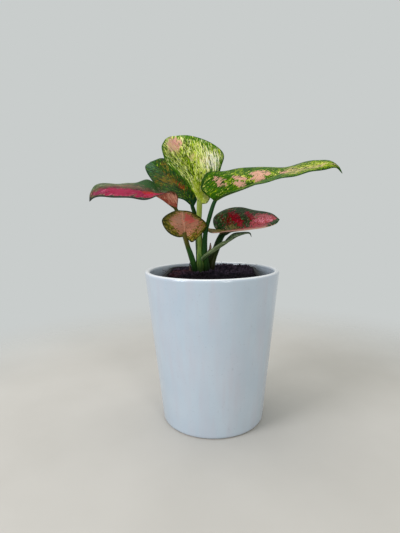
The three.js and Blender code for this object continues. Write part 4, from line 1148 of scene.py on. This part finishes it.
def coir_tree():
    """Scatters husk chips and loose fibres over the upward faces of the potting mix."""
    tree, given = new_tree("Coir litter", [
        ("Mix", "Geometry", None), ("Chips Per Square Metre", "Float", 260000.0),
        ("Fibres Per Square Metre", "Float", 90000.0), ("Chip Size", "Float", 0.0011),
        ("Fibre Length", "Float", 0.009), ("Fibre Radius", "Float", 0.00014), ("Seed", "Int", 7),
        ("Skin", "Material", None)])
    upward, height = (add(tree, "ShaderNodeSeparateXYZ", {0: add(tree, "GeometryNodeInput" + kind)}, out="Z")
                      for kind in ("Normal", "Position"))
    flat, high = (
        add(tree, "FunctionNodeCompare", {0: value, 1: least}, operation="GREATER_THAN", data_type="FLOAT")
        for value, least in ((upward, 0.3), (height, (MIX_TOP - 7) * MM)))
    top = add(tree, "FunctionNodeBooleanMath", {0: flat, 1: high}, operation="AND")

    lump = add(tree, "GeometryNodeMeshIcoSphere", {"Radius": given["Chip Size"], "Subdivisions": 1})
    lump = add(tree, "GeometryNodeTransform", {"Geometry": lump, "Scale": (1.5, 0.9, 0.45)})
    reach = add(tree, "ShaderNodeCombineXYZ", {0: given["Fibre Length"]})
    bow = add(tree, "ShaderNodeVectorMath", {0: reach, 1: (0.5, 0.22, 0.1)}, operation="MULTIPLY")
    strand = add(tree, "GeometryNodeCurveQuadraticBezier", {
        "Resolution": 6, "Start": (0, 0, 0), "Middle": bow, "End": reach})
    thread = add(tree, "GeometryNodeCurvePrimitiveCircle", {
        "Resolution": 3, "Radius": given["Fibre Radius"]})
    strand = add(tree, "GeometryNodeCurveToMesh", {
        "Curve": strand, "Profile Curve": thread, "Fill Caps": True})

    groups = [given["Mix"]]
    for step, shape, density, tilt, smallest, largest, darkest, palest in (
            (0.0, lump, given["Chips Per Square Metre"], 1.2, 0.45, 1.7, 0.0, 0.85),
            (1.0, strand, given["Fibres Per Square Metre"], 0.3, 0.4, 1.3, 0.2, 1.3)):
        seed = add(tree, "ShaderNodeMath", {0: given["Seed"], 1: step}, operation="ADD")
        spread = add(tree, "GeometryNodeDistributePointsOnFaces", {
            "Mesh": given["Mix"], "Selection": top, "Density": density, "Seed": seed}, out="Points")
        turn = add(tree, "FunctionNodeRandomValue", {
            0: (-tilt, -tilt, 0.0), 1: (tilt, tilt, 2 * math.pi), "Seed": seed}, data_type="FLOAT_VECTOR")
        size, shade = (
            add(tree, "FunctionNodeRandomValue", {2: least, 3: most, "Seed": seed}, out=1, data_type="FLOAT")
            for least, most in ((smallest, largest), (darkest, palest)))
        placed = add(tree, "GeometryNodeInstanceOnPoints", {
            "Points": spread, "Instance": shape, "Rotation": turn, "Scale": size})
        groups.append(add(tree, "GeometryNodeStoreNamedAttribute", {
            "Geometry": placed, "Name": "tint", "Value": shade}, data_type="FLOAT", domain="INSTANCE"))
    joined = add(tree, "GeometryNodeJoinGeometry", out=None)
    for group in groups:
        tree.links.new(group, joined.inputs[0])
    close_tree(tree, joined.outputs[0], given["Skin"])
    return tree


def make_mix(material):
    """The block of potting mix, with a crumbly top, and the litter that lies on it."""
    floor = POT_BOTTOM + MIX_INSET
    top_half = pot_half(MIX_TOP) - MIX_INSET
    outline = rounded_square(top_half, POT_CORNER - MIX_INSET, 12)
    rings = []
    for z, share in [(floor, 0.2), (floor, 0.6), *((z, 1) for z in np.linspace(floor, MIX_TOP - 1.5, 12))]:
        flat = outline * share * (pot_half(z) - MIX_INSET) / top_half
        rings.append(np.column_stack([flat, np.full(len(flat), z)]))
    for share in np.linspace(1, 0.015, 64):
        flat = outline * share
        lumps = lumps_at(np.column_stack([flat, np.zeros(len(flat))]), MIX_LUMP_SIZE, octaves=5, seed=3)
        z = mix_height(flat[:, 0], flat[:, 1]) + MIX_EDGE_DROP + MIX_LUMP_HEIGHT * lumps
        z = z - MIX_EDGE_DROP * smooth(share, 0.95, 1)
        rings.append(np.column_stack([flat, z]))
    block = lofted("mix_of_coir", [turned(ring) for ring in rings], material)
    return grown(block, coir_tree(), Skin=material)


# ---- the object ----------------------------------------------------------------------------------

def stands_for(piece, node):
    """Hangs a finished piece on the one body, in place of its CAD node, which it hides."""
    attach(piece, "root")
    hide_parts(node)


profile = planter_profile()
planter = grown(path_from("glazed_planter", [profile]), lathe_tree(),
                Profile_Points=3 * len(profile), Glaze=glaze_material())
stands_for(planter, "planter")
stands_for(make_nursery_pot(plastic_material()), "nursery_pot")
stands_for(make_mix(mix_material()), "potting_mix")

stem = stem_tree()
lines, thick = cane_lines()
count = len(thick)
cane = grown(path_from("ringed_cane", lines, thick=thick, groove=np.tile([1.0, 0, 0], (count, 1)),
                       widen=np.zeros(count)),
             stem, Sides=28, Groove_Depth=0.0, Scar_Height=SCAR_HEIGHT * MM, Skin=cane_material())
stands_for(cane, "cane_and_roots")

for name, leaf in LEAVES.items():
    stands_for(make_leaf(name, leaf, LEAF_LOOKS[name]), "leaf_" + name)
    line, radius, facing, widen = stalk_line(leaf, STALK_GIRTH[name])
    stalk = grown(path_from("stalk_" + name, [line], thick=radius, groove=facing, widen=widen),
                  stem, Skin=stem_material(name, **STALK_LOOKS[name]))
    stands_for(stalk, "stalk_" + name)

papery = sheath_material()
for name, (bends, width) in SHEATHS.items():
    stands_for(make_sheath(name, bends, width, papery), "dry_sheath_" + name)


# ---- floor, light and camera ---------------------------------------------------------------------

FLOOR_RADIUS = 1.2  # metres, as are the places and sizes of the lights

# Soft studio light: where each panel hangs, what it faces, its width and height, its power in watts and its
# colour.
LIGHTS = [
    ("window", (-1.0, -0.65, 0.75), (0, 0, 0.12), (0.5, 1.1), 11.5, "#f8f8fc"),
    ("front_fill", (0.5, -1.2, 0.5), (0, 0, 0.12), (0.3, 1.0), 4.4, "#fffaf2"),
    ("ceiling", (-0.2, 0.2, 1.3), (0, 0, 0.1), (0.9, 0.9), 5.0, "#fffaf2"),
]

# The photograph's view.
CAMERA_AT = (-10.96, -358.76, 192.31)
CAMERA_DOWN = math.radians(7.43)
CAMERA_ROLL = math.radians(0.77)
CAMERA_LENS = 26
CAMERA_SENSOR = 36


def make_floor():
    """A plain pale floor, clouded over 110 mm, that fades into the backdrop's tone away from the object."""
    material, tree, shader = new_material("plain_pale_floor", Roughness=0.7, Specular_IOR_Level=0.2)
    place = add(tree, "ShaderNodeTexCoord", out="Object")
    far = add(tree, "ShaderNodeVectorMath", {0: place}, out="Value", operation="LENGTH")
    grain = add(tree, "ShaderNodeTexNoise", {"Vector": place, "Scale": 9.0, "Detail": 5.0})
    colour = add(tree, "ShaderNodeMix", {
        0: grain, 6: linear("#b5b2ac"), 7: linear("#c8c5c0")}, out=2, data_type="RGBA")
    connect(tree, shader, Base_Color=colour)
    fade = add(tree, "ShaderNodeMapRange", {
        "Value": far, "From Min": 0.2, "From Max": 0.5}, interpolation_type="SMOOTHSTEP")
    clear = add(tree, "ShaderNodeBsdfTransparent")
    mixed = add(tree, "ShaderNodeMixShader", {0: fade, 1: shader.outputs[0], 2: clear})
    tree.links.new(mixed, tree.nodes["Material Output"].inputs["Surface"])
    mesh = bpy.data.meshes.new("floor")
    disc = bmesh.new()
    bmesh.ops.create_circle(disc, cap_ends=True, segments=96, radius=FLOOR_RADIUS)
    disc.to_mesh(mesh)
    disc.free()
    mesh.materials.append(material)
    floor = linked("floor", mesh)


def make_light(name, at, aim, size, watts, colour):
    light = bpy.data.lights.new(name, "AREA")
    light.shape, light.energy = "RECTANGLE", watts
    light.size, light.size_y = size
    light.color = linear(colour)[:3]
    turn = (Vector(aim) - Vector(at)).to_track_quat("-Z", "Y").to_matrix().to_4x4()
    linked(name, light).matrix_world = Matrix.Translation(at) @ turn


def make_camera():
    ahead = Vector((0, math.cos(CAMERA_DOWN), -math.sin(CAMERA_DOWN)))
    level_up = Vector((0, math.sin(CAMERA_DOWN), math.cos(CAMERA_DOWN)))
    level_right = Vector((1, 0, 0))
    right = math.cos(CAMERA_ROLL) * level_right - math.sin(CAMERA_ROLL) * level_up
    up = math.sin(CAMERA_ROLL) * level_right + math.cos(CAMERA_ROLL) * level_up
    data = bpy.data.cameras.new("camera")
    data.lens, data.sensor_width, data.clip_start = CAMERA_LENS, CAMERA_SENSOR, 10 * MM
    camera = linked("camera", data)
    turn = Matrix((right, up, -ahead)).transposed().to_4x4()
    camera.matrix_world = Matrix.Translation(Vector(CAMERA_AT) * MM) @ turn
    scene.camera = camera


make_floor()
world = bpy.data.worlds.new("pale_backdrop")
world.use_nodes = True
world.node_tree.nodes["Background"].inputs["Color"].default_value = linear("#c9cdcc")
scene.world = world
for lamp in LIGHTS:
    make_light(*lamp)
make_camera()
scene.view_settings.view_transform = "Standard"  # the hex colours above are the colours seen
